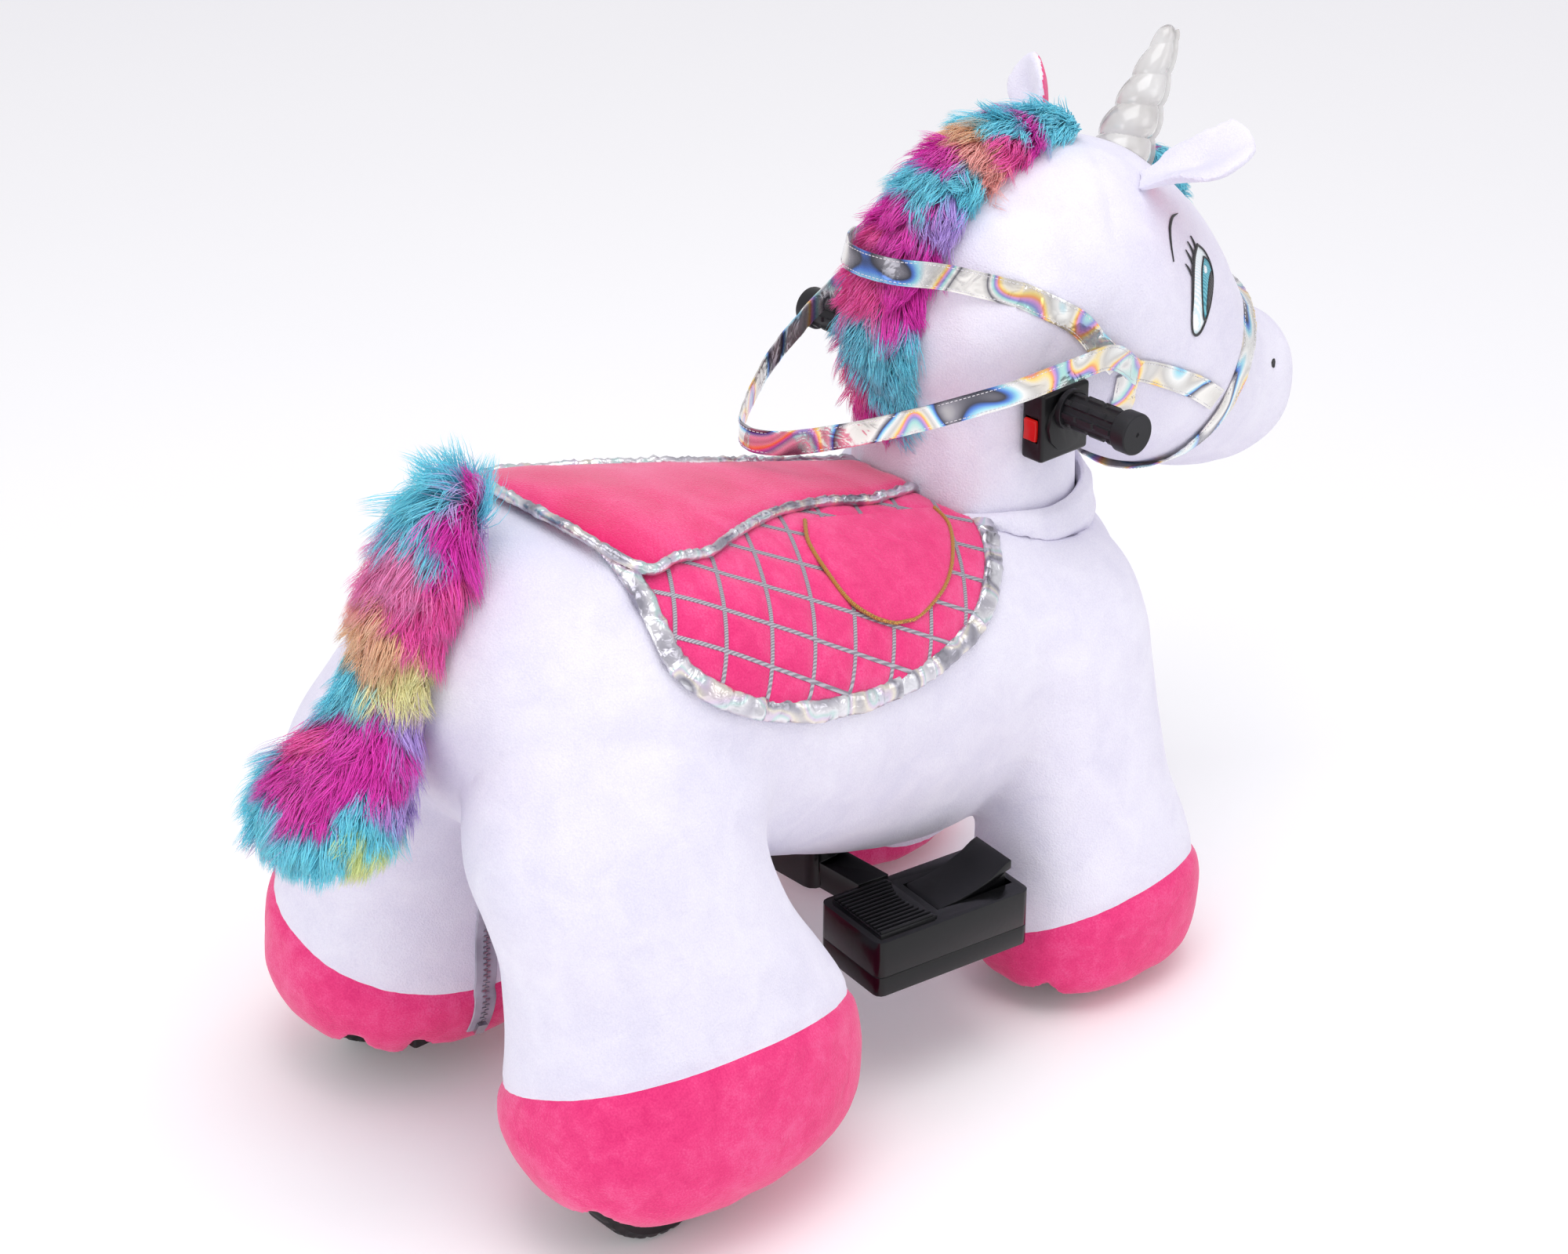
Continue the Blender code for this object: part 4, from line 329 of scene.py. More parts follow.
# Each row: share of the length from the front, bottom, top and width as shares, and how much of the
# belly's drop is there.
TORSO_SHARES = [
    (0.000, 0.31, 0.44, 0.16, 0.00), (0.020, 0.18, 0.55, 0.43, 0.00), (0.060, 0.10, 0.61, 0.64, 0.10),
    (0.120, 0.04, 0.655, 0.765, 0.40), (0.200, 0.02, 0.69, 0.855, 0.80), (0.300, 0.01, 0.725, 0.90, 1.00),
    (0.400, 0.02, 0.775, 0.935, 0.93), (0.500, 0.03, 0.83, 0.97, 0.70), (0.600, 0.055, 0.885, 0.995, 0.42),
    (0.700, 0.08, 0.94, 1.00, 0.18), (0.790, 0.11, 0.985, 0.975, 0.04), (0.860, 0.155, 0.99, 0.90, 0.00),
    (0.915, 0.215, 0.945, 0.78, 0.00), (0.955, 0.305, 0.86, 0.62, 0.00), (0.980, 0.40, 0.77, 0.42, 0.00),
    (1.000, 0.50, 0.67, 0.15, 0.00),
]
HEAD_LENGTH, HEAD_HEIGHT, HEAD_WIDTH = 0.455, 0.335, 0.220
HEAD_FRONT_Y, HEAD_BASE_Z = -0.512, 0.333
# Each row: share of the length from the nose, then bottom, top and width as shares.
HEAD_SHARES = [
    (0.000, 0.15, 0.25, 0.14), (0.015, 0.085, 0.31, 0.32), (0.050, 0.035, 0.365, 0.46),
    (0.100, 0.010, 0.395, 0.535), (0.160, 0.000, 0.45, 0.59), (0.215, 0.010, 0.545, 0.67),
    (0.270, 0.025, 0.66, 0.78), (0.355, 0.060, 0.81, 0.91), (0.465, 0.120, 0.925, 0.99),
    (0.575, 0.220, 0.975, 1.00), (0.685, 0.320, 0.995, 0.97), (0.795, 0.370, 0.965, 0.90),
    (0.880, 0.390, 0.905, 0.79), (0.945, 0.420, 0.81, 0.61), (0.985, 0.480, 0.71, 0.37),
    (1.000, 0.530, 0.65, 0.16),
]
STEER_Y = -0.145          # the steering axis
print("torso", len(TORSO_SHARES), "rows, head", len(HEAD_SHARES), "rows")


# %% Points on the torso and the head
def smooth_between(rows, place):
    """The row at a place, 0 to the last index, on a smooth curve through all rows."""
    last = len(rows) - 1
    place = min(max(place, 0), last)
    i = min(int(place), last - 1)
    t = place - i
    four = (rows[max(i - 1, 0)], rows[i], rows[i + 1], rows[min(i + 2, last)])
    return [0.5 * (2 * b + (c - a) * t + (2 * a - 5 * b + 4 * c - d) * t * t
                   + (3 * b - a - 3 * c + d) * t * t * t) for a, b, c, d in zip(*four)]


def row_at(table, share):
    """The table's row where its first column is share."""
    last = len(table) - 1
    share = min(max(share, table[0][0]), table[last][0])
    i = max(k for k in range(last) if table[k][0] <= share)
    return smooth_between(table, i + (share - table[i][0]) / (table[i + 1][0] - table[i][0]))


def oval(angle, half_width, half_height, squareness):
    """A point of a superellipse."""
    c, s = math.cos(angle), math.sin(angle)
    return (half_width * math.copysign(abs(c) ** (2 / squareness), c),
            half_height * math.copysign(abs(s) ** (2 / squareness), s))


def torso_point(y, angle, grow=0.0):
    """A point on the torso at y, its angle taken from the top towards the left side."""
    _, low, top, width, belly = row_at(TORSO_SHARES, (y - TORSO_FRONT_Y) / TORSO_LENGTH)
    half = (top - low) / 2 * TORSO_HEIGHT + grow
    x, z = oval(TURN / 4 - angle, width * TORSO_WIDTH / 2 + grow, half, TORSO_SQUARENESS)
    if z < 0:
        z *= (half + max(belly, 0) * BELLY_DROP) / half
    return Vector((x, y, TORSO_BASE_Z + (low + top) / 2 * TORSO_HEIGHT + z))


def head_point(y, angle, grow=0.0):
    """A point on the head at y, its angle taken from the top towards the left side."""
    _, low, top, width = row_at(HEAD_SHARES, (y - HEAD_FRONT_Y) / HEAD_LENGTH)
    half = (top - low) / 2 * HEAD_HEIGHT + grow
    x, z = oval(TURN / 4 - angle, width * HEAD_WIDTH / 2 + grow, half, HEAD_SQUARENESS)
    return Vector((x, y, HEAD_BASE_Z + (low + top) / 2 * HEAD_HEIGHT + z))


def whole_form(point, front, length, sides=64, rows=96):
    """The closed form that a point function draws, finer than the CAD's own facets."""
    return formed(rows, sides, lambda u, v: point(front + u * length, v * TURN), caps=True)


def limb_form(table, side, x, y, width, depth, height_m, sides=48, rows=60):
    """The closed form of one limb, from its table of shares."""
    def place(u, v):
        up, across, along, wide, deep = smooth_between(table, u * (len(table) - 1))
        dx, dy = oval(v * TURN, wide * width / 2, deep * depth / 2, LIMB_SQUARENESS)
        return Vector((side * (x - across * width - dx), y + along * depth + dy, up * height_m))
    return formed(rows, sides, place, caps=True)


print("a point on top of the back:", tuple(round(a, 3) for a in torso_point(0.2, 0)))

# %% Tables of the limbs
# Each row: share of the height, shift inwards and to the rear, then width and depth as shares.
REAR_LIMB = dict(x=0.148, y=0.281, width=0.210, depth=0.280, height_m=0.460)
REAR_LIMB_SHARES = [
    (0.082, 0.00, 0.02, 0.71, 0.72), (0.104, 0.00, 0.01, 0.85, 0.85), (0.145, 0.00, 0.00, 0.955, 0.95),
    (0.200, 0.00, 0.00, 1.00, 1.00), (0.250, 0.00, 0.00, 0.99, 0.99), (0.320, 0.01, 0.005, 0.945, 0.95),
    (0.400, 0.05, 0.026, 0.89, 0.858), (0.490, 0.10, 0.060, 0.86, 0.771), (0.620, 0.18, 0.093, 0.86, 0.794),
    (0.720, 0.25, 0.020, 0.84, 0.862), (0.830, 0.32, -0.08, 0.74, 0.84), (0.930, 0.38, -0.14, 0.52, 0.66),
    (1.000, 0.40, -0.18, 0.22, 0.34),
]
FRONT_LIMB = dict(x=0.132, y=-0.163, width=0.160, depth=0.194, height_m=0.395)
FRONT_LIMB_SHARES = [
    (0.046, 0.00, 0.00, 0.86, 0.88), (0.078, 0.00, 0.00, 0.95, 0.96), (0.140, 0.00, 0.00, 1.00, 1.00),
    (0.220, 0.00, 0.00, 1.00, 0.99), (0.330, 0.03, 0.01, 0.94, 0.91), (0.460, 0.10, 0.04, 0.90, 0.85),
    (0.660, 0.23, 0.06, 0.93, 0.85), (0.770, 0.29, 0.09, 0.98, 0.90), (0.880, 0.38, 0.12, 0.92, 0.90),
    (0.960, 0.48, 0.15, 0.68, 0.72), (1.000, 0.52, 0.17, 0.36, 0.40),
]
print("limbs:", len(REAR_LIMB_SHARES), "and", len(FRONT_LIMB_SHARES), "rows")

# %% [markdown]
# ## Plush finishes
# The white skin is short-pile polyester plush, knitted and brushed: no gloss, and a soft bright edge
# where the pile stands up. Its colour is painted in random patches of faint lilac painted shade and
# paler painted sheen, as where the pile leans the other way. The pink of the hoofs is the same
# cloth, dyed, with the same painted patches. Its pile is 2 mm long. A single fibre is too fine to
# show, so the grain is drawn at 1.4 mm, with a second swell of 16 to 50 mm for the brushed patches
# and a broad one of 110 mm of painted shade. The seat is a closer velour that shines more.

# %% Plush
def plush_finish(name, deep, light, pale, sheen, patch_size, grain=0.0014):
    """Brushed pile cloth in three tones of one colour: painted shade, the cloth's own tone and painted
    sheen.
    """
    made, tree, shader = new_finish(name, Roughness=0.92, Sheen_Weight=sheen, Sheen_Roughness=0.42,
                                    Specular_IOR_Level=0.2)
    place = object_place(tree)
    patches = size_noise(tree, place, patch_size, 3.0, 0.6)
    pile = size_noise(tree, place, grain, 2.0)
    broad = size_noise(tree, place, 0.11, 1.0)
    mixed = add(tree, "ShaderNodeMath", {0: patches, 1: broad}, operation="ADD").outputs[0]
    whole = add(tree, "ShaderNodeMath", {0: pile, 1: mixed}, operation="ADD").outputs[0]
    mean = add(tree, "ShaderNodeMath", {0: whole}, {1: 1 / 3}, operation="MULTIPLY").outputs[0]
    # painted shade and sheen: the mixed noises choose random patches from the deep shade tone to the pale
    # sheen tone
    tree.links.new(ramp(tree, mean, (0.36, deep), (0.50, light), (0.64, pale)),
                   shader.inputs["Base Color"])
    bumped(tree, shader, (patches, 0.004, 0.25), (pile, 0.0012, 0.55))
    return made


# tones in order: painted shade, the cloth's own colour, painted sheen
white_pile = plush_finish("white_polyester_plush", "#DEDBEC", "#E7E4F2", "#EEECF7", 0.22, 0.03)
pink_pile = plush_finish("pink_polyester_plush", "#E02F74", "#EC4081", "#F25D95", 0.32, 0.016)
pink_velour = plush_finish("pink_velour", "#DB2165", "#EA3378", "#F25791", 0.55, 0.05)
print("plush finishes made")

# %% [markdown]
# ## The stuffed body
# The real body is one sewn skin over foam and a steel frame. The CAD has it as a torso, four legs
# and four hoofs with hair-thin gaps. The copies of those solids are joined by a voxel remesh into
# one even skin, which closes the gaps into soft creases. Its outer points are then moved onto the
# smooth lines that the tables draw, which takes the CAD's facets away, while the hollows for the
# wheels and the mechanism stay as the model has them.

# %% The outer forms that guide the skin
SKIN_VOXEL = 0.005
HOLLOW_DEPTH = 0.005     # a point deeper than this inside the outer form belongs to a hollow
forms = [whole_form(torso_point, TORSO_FRONT_Y, TORSO_LENGTH)]
forms += [limb_form(REAR_LIMB_SHARES, side, **REAR_LIMB) for side in (-1, 1)]
forms += [limb_form(FRONT_LIMB_SHARES, side, **FRONT_LIMB) for side in (-1, 1)]
body_guides = [tree_of(bm) for bm in forms]
print("guide forms:", len(body_guides))


def nearest_guide(guides, point):
    """How deep the point is inside the forms, and the nearest place on their outside."""
    deepest, closest, spot = 0.0, math.inf, None
    for guide in guides:
        place, normal, _, away = guide.find_nearest(point)
        inside = (point - place).dot(normal) < 0
        if inside:
            deepest = max(deepest, away)
        if away < closest:
            closest, spot = away, place
    return deepest, closest, spot


def eased_skin(bm, guides, rounds):
    """Moves the outer points onto the guides, then softens the creases between the forms."""
    outer = []
    for vert in bm.verts:
        deepest, closest, spot = nearest_guide(guides, vert.co)
        if deepest < HOLLOW_DEPTH:
            outer.append(vert)
            if closest < HOLLOW_DEPTH:
                vert.co = spot
    smoothed(bm, outer, rounds)
    bm.normal_update()
    return outer


# %% [markdown]
# The cloth is thinner than a voxel where the front axle's ends come near it, and the remesh would
# leave holes there. So a 6.5 mm patch of the outer form is joined in on each side.

# %% Patches over the front axle
PATCH_LOW, PATCH_HIGH = Vector((0.085, -0.235, 0.225)), Vector((0.24, -0.055, 0.375))
PATCH_THICKNESS = 0.0065
PATCH_DEPTH = 0.003      # a patch starts no deeper than this inside another form


def axle_patches():
    patches = []
    for form in forms:
        bm = form.copy()
        doomed = []
        for face in bm.faces:
            spot = face.calc_center_median()
            here = Vector((abs(spot.x), spot.y, spot.z))
            boxed = all(a < b < c for a, b, c in zip(PATCH_LOW, here, PATCH_HIGH))
            if not boxed or nearest_guide(body_guides, spot)[0] > PATCH_DEPTH:
                doomed.append(face)
        bmesh.ops.delete(bm, geom=doomed, context="FACES")
        if bm.faces:
            bmesh.ops.solidify(bm, geom=bm.faces[:], thickness=PATCH_THICKNESS)
            patches.append(bm)
    return patches


# %% One skin from torso, belly, legs and hoofs
SIDES = ("right", "left")
LIMBS = [end + "_" + side for end in ("rear", "front") for side in SIDES]
skin = remeshed(together(cad_copy("torso_plush", "belly_panel", *["leg_" + n for n in LIMBS],
                                  *["hoof_" + n for n in LIMBS]), *axle_patches()), SKIN_VOXEL)
outer = eased_skin(skin, body_guides, 7)
print("skin:", len(skin.verts), "points, of them outer", len(outer))

# %% [markdown]
# ## Hoof seams and soft wrinkles
# Each hoof is a pink boot sewn to the white leg along a sloping seam. The stitch pulls both cloths
# in and the boot puffs out below it. Broad shallow swells make the skin look hand-stuffed.

# %% Seams
# name: (side, leg's middle x and y, seam height there, its rise outward, its rise rearward)
SEAMS = {
    "rear_right": (-1, 0.148, 0.281, 0.132, 0.38, 0.05),
    "rear_left": (1, 0.148, 0.281, 0.132, 0.38, 0.05),
    "front_right": (-1, 0.132, -0.163, 0.0755, 0.40, -0.10),
    "front_left": (1, 0.132, -0.163, 0.064, 0.50, 0.27),
}
SEAM_PULL, BOOT_PUFF, SEAM_REACH = 0.0016, 0.0018, 0.005
BROAD_SWELL, FINE_SWELL, BOOT_CRUMPLE = 0.0022, 0.0011, 0.0012
LIMB_TOP, LIMB_GAP, BELLY_FRONT, BELLY_REAR = 0.24, 0.02, 0.02, 0.12    # what isn't a limb


def seam_plane(name):
    side, x, y, z, outward, rearward = SEAMS[name]
    return Vector((side * x, y, z)), Vector((-side * outward, -rearward, 1)).normalized()


def limb_at(point):
    """The limb that a low point belongs to, or None."""
    if point.z > LIMB_TOP or abs(point.x) < LIMB_GAP or BELLY_FRONT < point.y < BELLY_REAR:
        return None
    return ("rear" if point.y >= BELLY_REAR else "front") + ("_left" if point.x > 0 else "_right")


for vert in outer:
    swell = (BROAD_SWELL * noise.noise(vert.co * 9)
             + FINE_SWELL * noise.noise(vert.co * 26 + Vector((4, 1, 8))))
    name = limb_at(vert.co)
    if name:
        at, normal = seam_plane(name)
        height = (vert.co - at).dot(normal)
        swell -= SEAM_PULL * math.exp(-(height / SEAM_REACH) ** 2)
        if height < 0:
            swell += BOOT_PUFF * (1 - math.exp(-(height / SEAM_REACH) ** 2))
            swell += BOOT_CRUMPLE * noise.noise(vert.co * 45)
    vert.co += vert.normal * swell
print("seams pulled in:", list(SEAMS))

# %% Cut the skin at the seams
for name in LIMBS:
    at, normal = seam_plane(name)
    near = [f for f in skin.faces if limb_at(f.calc_center_median()) == name]
    geometry = set(near)
    for face in near:
        geometry.update(face.edges)
        geometry.update(face.verts)
    bmesh.ops.bisect_plane(skin, geom=list(geometry), dist=MERGE, plane_co=at, plane_no=normal)


def boot_of(face):
    """The limb whose boot this face belongs to, or None for the white skin."""
    middle = face.calc_center_median()
    name = limb_at(middle)
    if name:
        at, normal = seam_plane(name)
        if (middle - at).dot(normal) < 0:
            return name
    return None


skin.faces.index_update()
skin_tree = tree_of(skin)
owners = [boot_of(face) for face in skin.faces]


def part_of_skin(owner):
    """A copy of the skin's faces that have this owner, closed where it was cut."""
    bm = skin.copy()
    bm.faces.ensure_lookup_table()
    doomed = [face for face, mine in zip(bm.faces, owners) if mine != owner]
    bmesh.ops.delete(bm, geom=doomed, context="FACES")
    rims = [e for e in bm.edges if e.is_boundary]
    bmesh.ops.triangle_fill(bm, use_beauty=True, edges=rims)
    bmesh.ops.recalc_face_normals(bm, faces=bm.faces[:])
    return bm


body_bm = part_of_skin(None)
body_tree = tree_of(body_bm)
piece("plush_body", body_bm, white_pile, "chassis",
      ["torso_plush", "belly_panel"] + ["leg_" + n for n in LIMBS])
for name in LIMBS:
    piece("plush_hoof_" + name, part_of_skin(name), pink_pile, "chassis",
          ["hoof_" + name])
skin.free()

# %% [markdown]
# ## The head, the neck and the collar
# The head is a stuffed ball with a muzzle, sewn from panels: a seam runs down each cheek and one
# over the nose. It turns with the handlebar on a round neck, which stands in a slack roll of cloth
# on the body, the collar. Head and neck are one skin here, as in the real toy.

# %% Head and neck
HEAD_VOXEL = 0.004
NOSTRIL = Vector((-0.057, -0.458, 0.427))
CHEEK_SEAM = [Vector(p) for p in (
    (-0.040, -0.238, 0.654), (-0.075, -0.218, 0.635), (-0.092, -0.207, 0.612),
    (-0.105, -0.200, 0.566), (-0.103, -0.183, 0.538))]
CHEEK_PULL, NOSE_PULL, NOSTRIL_DEPTH = 0.0016, 0.0012, 0.0050
head_guides = [tree_of(whole_form(head_point, HEAD_FRONT_Y, HEAD_LENGTH)),
               tree_of(cad_copy("neck_plush"))]
head_bm = remeshed(cad_copy("head_plush", "neck_plush"), HEAD_VOXEL)
head_outer = eased_skin(head_bm, head_guides, 6)


def from_line(point, line):
    """The distance from a point to a line of points."""
    best = math.inf
    for a, b in zip(line, line[1:]):
        t = min(max((point - a).dot(b - a) / (b - a).length_squared, 0), 1)
        best = min(best, (point - a.lerp(b, t)).length)
    return best


for vert in head_outer:
    here = Vector((-abs(vert.co.x), vert.co.y, vert.co.z))
    swell = 0.0018 * noise.noise(vert.co * 11) + 0.0008 * noise.noise(vert.co * 30)
    swell -= CHEEK_PULL * math.exp(-(from_line(here, CHEEK_SEAM) / 0.0045) ** 2)
    if here.y < -0.30 and here.z > 0.43:
        swell -= NOSE_PULL * math.exp(-(here.x / 0.004) ** 2)
    swell -= NOSTRIL_DEPTH * math.exp(-((here - NOSTRIL).length / 0.006) ** 2)
    vert.co += vert.normal * swell
head_bm.normal_update()
head_tree = tree_of(head_bm)
piece("plush_head", head_bm, white_pile, "steering", ["head_plush", "neck_plush"])

# %% Collar
FOLD_DEPTH = 0.0042        # the slack cloth lies in level folds
collar_bm = remeshed(cad_copy("neck_collar"), 0.003, 10)
collar_bm.normal_update()
for vert in collar_bm.verts:
    turn_at = math.atan2(vert.co.x, vert.co.y - STEER_Y + 0.015)
    fold = Vector((math.cos(turn_at) * 1.6, math.sin(turn_at) * 1.6, vert.co.z * 95))
    vert.co += vert.normal * (FOLD_DEPTH * noise.noise(fold))
rippled(collar_bm, [(0.045, 0.0018), (0.018, 0.0009)])
piece("plush_collar", collar_bm, white_pile, "chassis", ["neck_collar"])

# %% [markdown]
# ## Sewing on a curved body
# The saddle lies on the back, so each of its pieces is drawn flat, in (place along the body, angle
# down the side), and laid on the finished skin by a ray from outside. A cushion is a closed pillow
# between a top and a bottom sheet. A piping, a binding or a strap is a profile swept along frames:
# a point, the direction across and the direction outward.

# %% Helpers for sewing
def torso_y(share):
    return TORSO_FRONT_Y + share * TORSO_LENGTH


def over_body(y, angle, lift=0.0):
    """A point at that height over the skin, and the direction outward there."""
    outside, inside = torso_point(y, angle, 0.05), torso_point(y, angle, -0.03)
    hit = body_tree.ray_cast(outside, inside - outside)[0] or torso_point(y, angle)
    out = (outside - inside).normalized()
    return hit + out * lift, out


def pillow(columns, rows, flat, top, bottom=0.0005):
    """A closed cushion over the body: flat(u, w) gives (y, angle), top(u, w) the upper lift."""
    def place(u, v):
        upper = v < 0.5
        w = 2 * v if upper else 2 - 2 * v
        y, angle = flat(u, w)
        return over_body(y, angle, top(u, w) if upper else bottom)[0]
    return formed(columns, 2 * rows, place, caps=True)


def frames_along(points, outward, closed=False):
    """Frames of (point, across, outward) along a line of points."""
    frames, count = [], len(points)
    for i, point in enumerate(points):
        before = points[i - 1] if closed or i else point
        after = points[(i + 1) % count] if closed or i < count - 1 else point
        along = (after - before).normalized()
        out = (outward[i] - outward[i].dot(along) * along).normalized()
        frames.append((point, along.cross(out), out))
    return frames


def swept(frames, around, profile, closed=False):
    """A closed tube or strap: profile(k, v) gives (across, outward) offsets at frame k."""
    run = frames + frames[:1] if closed else frames
    last = len(run) - 1

    def place(u, v):
        k = round(u * last)
        centre, across, out = run[k]
        a, b = profile(k % len(frames), v)
        return centre + across * a + out * b
    return formed(last, around, place, caps=not closed)


def spaced(points, step, closed=False):
    """The same line with its points evenly apart."""
    line = points + points[:1] if closed else points
    lengths = [0.0]
    for a, b in zip(line, line[1:]):
        lengths.append(lengths[-1] + (b - a).length)
    count = max(2, round(lengths[-1] / step))
    made, i = [], 0
    for k in range(count if closed else count + 1):
        target = lengths[-1] * k / count
        while i < len(lengths) - 2 and lengths[i + 1] < target:
            i += 1
        span = lengths[i + 1] - lengths[i]
        made.append(line[i].lerp(line[i + 1], (target - lengths[i]) / span if span else 0))
    return made


def flat_oval(half_width, half_thick, squareness=5):
    """A strap's rounded rectangle as a profile."""
    return lambda k, v: oval(v * TURN, half_width, half_thick, squareness)


def laid_line(flats, step, lift, closed=False):
    """Frames along flat places on the body, evenly spaced."""
    points = spaced([over_body(y, a, lift)[0] for y, a in flats], step, closed)
    outs = []
    for point in points:
        _, normal, _, _ = body_tree.find_nearest(point)
        outs.append(normal)
    return frames_along(points, outs, closed)


print("sewing helpers ready")

# %% [markdown]
# ## Silver finishes
# Straps and bindings are holographic film under clear vinyl. The film is embossed with a grating of
# about a micron, so it throws patches of pure colour next to white and near-black ones, and each
# fold shifts them. These are reflections, which can't follow the eye here, so they are painted on
# the piece as painted reflections and highlights, in patches about 60 mm long, with soft and sharp
# borders as in a creased mirror. The crinkled edgings are a brushed silver lame with a much paler
# painted rainbow. The tape has a weave of fine dark and pale lines, and the threads a soft line
# along each strand, both drawn coarser than they are so that they show.

# %% Holographic vinyl, silver lame, tape and thread
def film_finish(name, size, rough, *stops, metallic=0.75):
    """A mirror film with painted reflections in patches of about that size, and shallow creases."""
    made, tree, shader = new_finish(name, Roughness=rough, Metallic=metallic, Coat_Weight=0.6,
                                    Coat_Roughness=0.05)
    place = object_place(tree)
    painted_reflection = size_noise(tree, place, size, 0.4, 0.45)
    tree.links.new(ramp(tree, painted_reflection, *stops), shader.inputs["Base Color"])
    fold = size_noise(tree, place, size * 0.30, 2.0, 1.0)
    bumped(tree, shader, (fold, 0.0036, 0.45), (size_noise(tree, place, 0.0018), 0.0002, 0.2))
    return made


# painted reflections: near-black, white and rainbow patches stand for what the film reflects
holographic_vinyl = film_finish(
    "holographic_vinyl", 0.062, 0.15,
    (0.24, "#D9D6CF"), (0.32, "#F4F2EC"), (0.355, "#8E8C94"), (0.375, "#3D3E4A"), (0.385, "#4F7FD8"),
    (0.405, "#9FDDEB"), (0.43, "#F2F3EF"), (0.475, "#C9C7C2"), (0.50, "#E6E0D2"), (0.52, "#F6DC86"),
    (0.535, "#F4A368"), (0.55, "#D99BD2"), (0.57, "#8F92CF"), (0.59, "#A9DDD6"), (0.62, "#E9E8E4"),
    (0.655, "#55535F"), (0.67, "#C2C0BE"), (0.72, "#F2F0EA"))
# a paler painted rainbow and painted reflections
silver_lame = film_finish(
    "silver_lame", 0.034, 0.28,
    (0.28, "#9A98A3"), (0.36, "#C2C0C8"), (0.44, "#E6E5E8"), (0.48, "#C3DBD8"), (0.52, "#DACCDF"),
    (0.57, "#E6DFD0"), (0.62, "#B3B1BB"), (0.66, "#8F8D97"), (0.74, "#DEDEE3"), metallic=0.85)

tape_finish, tape_tree, tape_shader = new_finish("woven_silver_tape", Roughness=0.45, Metallic=0.5)
tape_place = object_place(tape_tree)
tape_weave = add(tape_tree, "ShaderNodeTexWave", {"Vector": tape_place},
                 {"Scale": 260.0, "Distortion": 1.0})
tape_tree.links.new(ramp(tape_tree, tape_weave.outputs["Fac"], (0.2, "#8C8792"), (0.8, "#BDB9C2")),
                    tape_shader.inputs["Base Color"])
bumped(tape_tree, tape_shader, (tape_weave.outputs["Fac"], 0.0003, 0.6))


def thread_finish(name, dark, pale):
    """Twisted polyester embroidery thread: a soft line sheen along each strand."""
    made, tree, shader = new_finish(name, Roughness=0.48, Sheen_Weight=0.2)
    strands = add(tree, "ShaderNodeTexWave", {"Vector": object_place(tree)},
                  {"Scale": 420.0, "Distortion": 2.5, "Detail": 1.0}).outputs["Fac"]
    tree.links.new(ramp(tree, strands, (0.15, dark), (0.85, pale)), shader.inputs["Base Color"])
    bumped(tree, shader, (strands, 0.0003, 0.5))
    return made


gold_thread = thread_finish("gold_polyester_thread", "#8A5A14", "#C98E33")
white_thread = thread_finish("white_polyester_thread", "#C9C8CF", "#F4F3F6")
black_thread = thread_finish("black_polyester_thread", "#060608", "#202026")
turquoise_thread = thread_finish("turquoise_polyester_thread", "#2F93A8", "#6CC4D2")
pale_thread = thread_finish("pale_polyester_thread", "#DDF3F6", "#FFFFFF")
print("silver and thread finishes made")

# %% [markdown]
# ## Saddle pad
# The pad is plush over thin wadding, sewn down along a slanted grid of silver tape, so that each
# diamond swells a little between the tapes. A broad silver binding wraps its edge, gathered in
# small puckers all along it.

# %% The pad
PAD_ANGLE = math.radians(82)
PAD_EDGES = [(0.00, 0.232, 0.812), (0.23, 0.250, 0.812), (0.42, 0.275, 0.814), (0.56, 0.302, 0.818),
             (0.75, 0.352, 0.818), (0.84, 0.391, 0.800), (0.92, 0.448, 0.765), (0.97, 0.510, 0.715),
             (1.00, 0.580, 0.655)]
PAD_RISE, PAD_SWELL, TAPE_WIDTH = 0.0042, 0.0022, 0.0034
SIDE_RADIUS = 0.158        # turns an angle down the side into a length
GRID_STEP = 0.041
TAPE_LEAN, TAPE_FALL = 0.45, 0.50      # how each family of tapes slants on the side


def pad_flat(u, w):
    down = abs(2 * u - 1)
    _, front, rear = row_at(PAD_EDGES, down)
    return torso_y(front + (rear - front) * w), math.copysign(down * PAD_ANGLE, 2 * u - 1)


def tape_coordinates(y, angle):
    """Where a place lies across the two families of tapes."""
    down = abs(angle) * SIDE_RADIUS
    return (y - TAPE_LEAN * down) / GRID_STEP, (down + TAPE_FALL * y) / GRID_STEP


def pad_top(u, w):
    y, angle = pad_flat(u, w)
    across, along = tape_coordinates(y, angle)
    off_tape = min(abs(across - round(across)), abs(along - round(along))) * GRID_STEP
    edge = min(w, 1 - w, (1 - abs(2 * u - 1)) * 2) * 6
    return (0.0012 + PAD_RISE * min(1, edge) ** 0.5
            + PAD_SWELL * (1 - math.exp(-(off_tape / 0.006) ** 2)) * min(1, edge))


pad = piece("saddle_pad_plush", pillow(230, 110, pad_flat, pad_top), pink_pile, "chassis",
            ["saddle_pad"])
pad_tree = BVHTree.FromPolygons([v.co for v in pad.data.vertices],
                                [p.vertices for p in pad.data.polygons])


def over_pad(y, angle, lift):
    """A point over the pad, or over the skin beside it."""
    outside, out = over_body(y, angle, 0.04)
    hit = pad_tree.ray_cast(outside, -out, 0.05)[0]
    return (hit + out * lift if hit else over_body(y, angle, lift)[0]), out


# %% The tapes
def pad_reach(y, angle):
    """True where the place is inside the pad's edge."""
    down = abs(angle) / PAD_ANGLE
    if down >= 0.985:
        return False
    _, front, rear = row_at(PAD_EDGES, down)
    return torso_y(front) + 0.006 < y < torso_y(rear) - 0.006


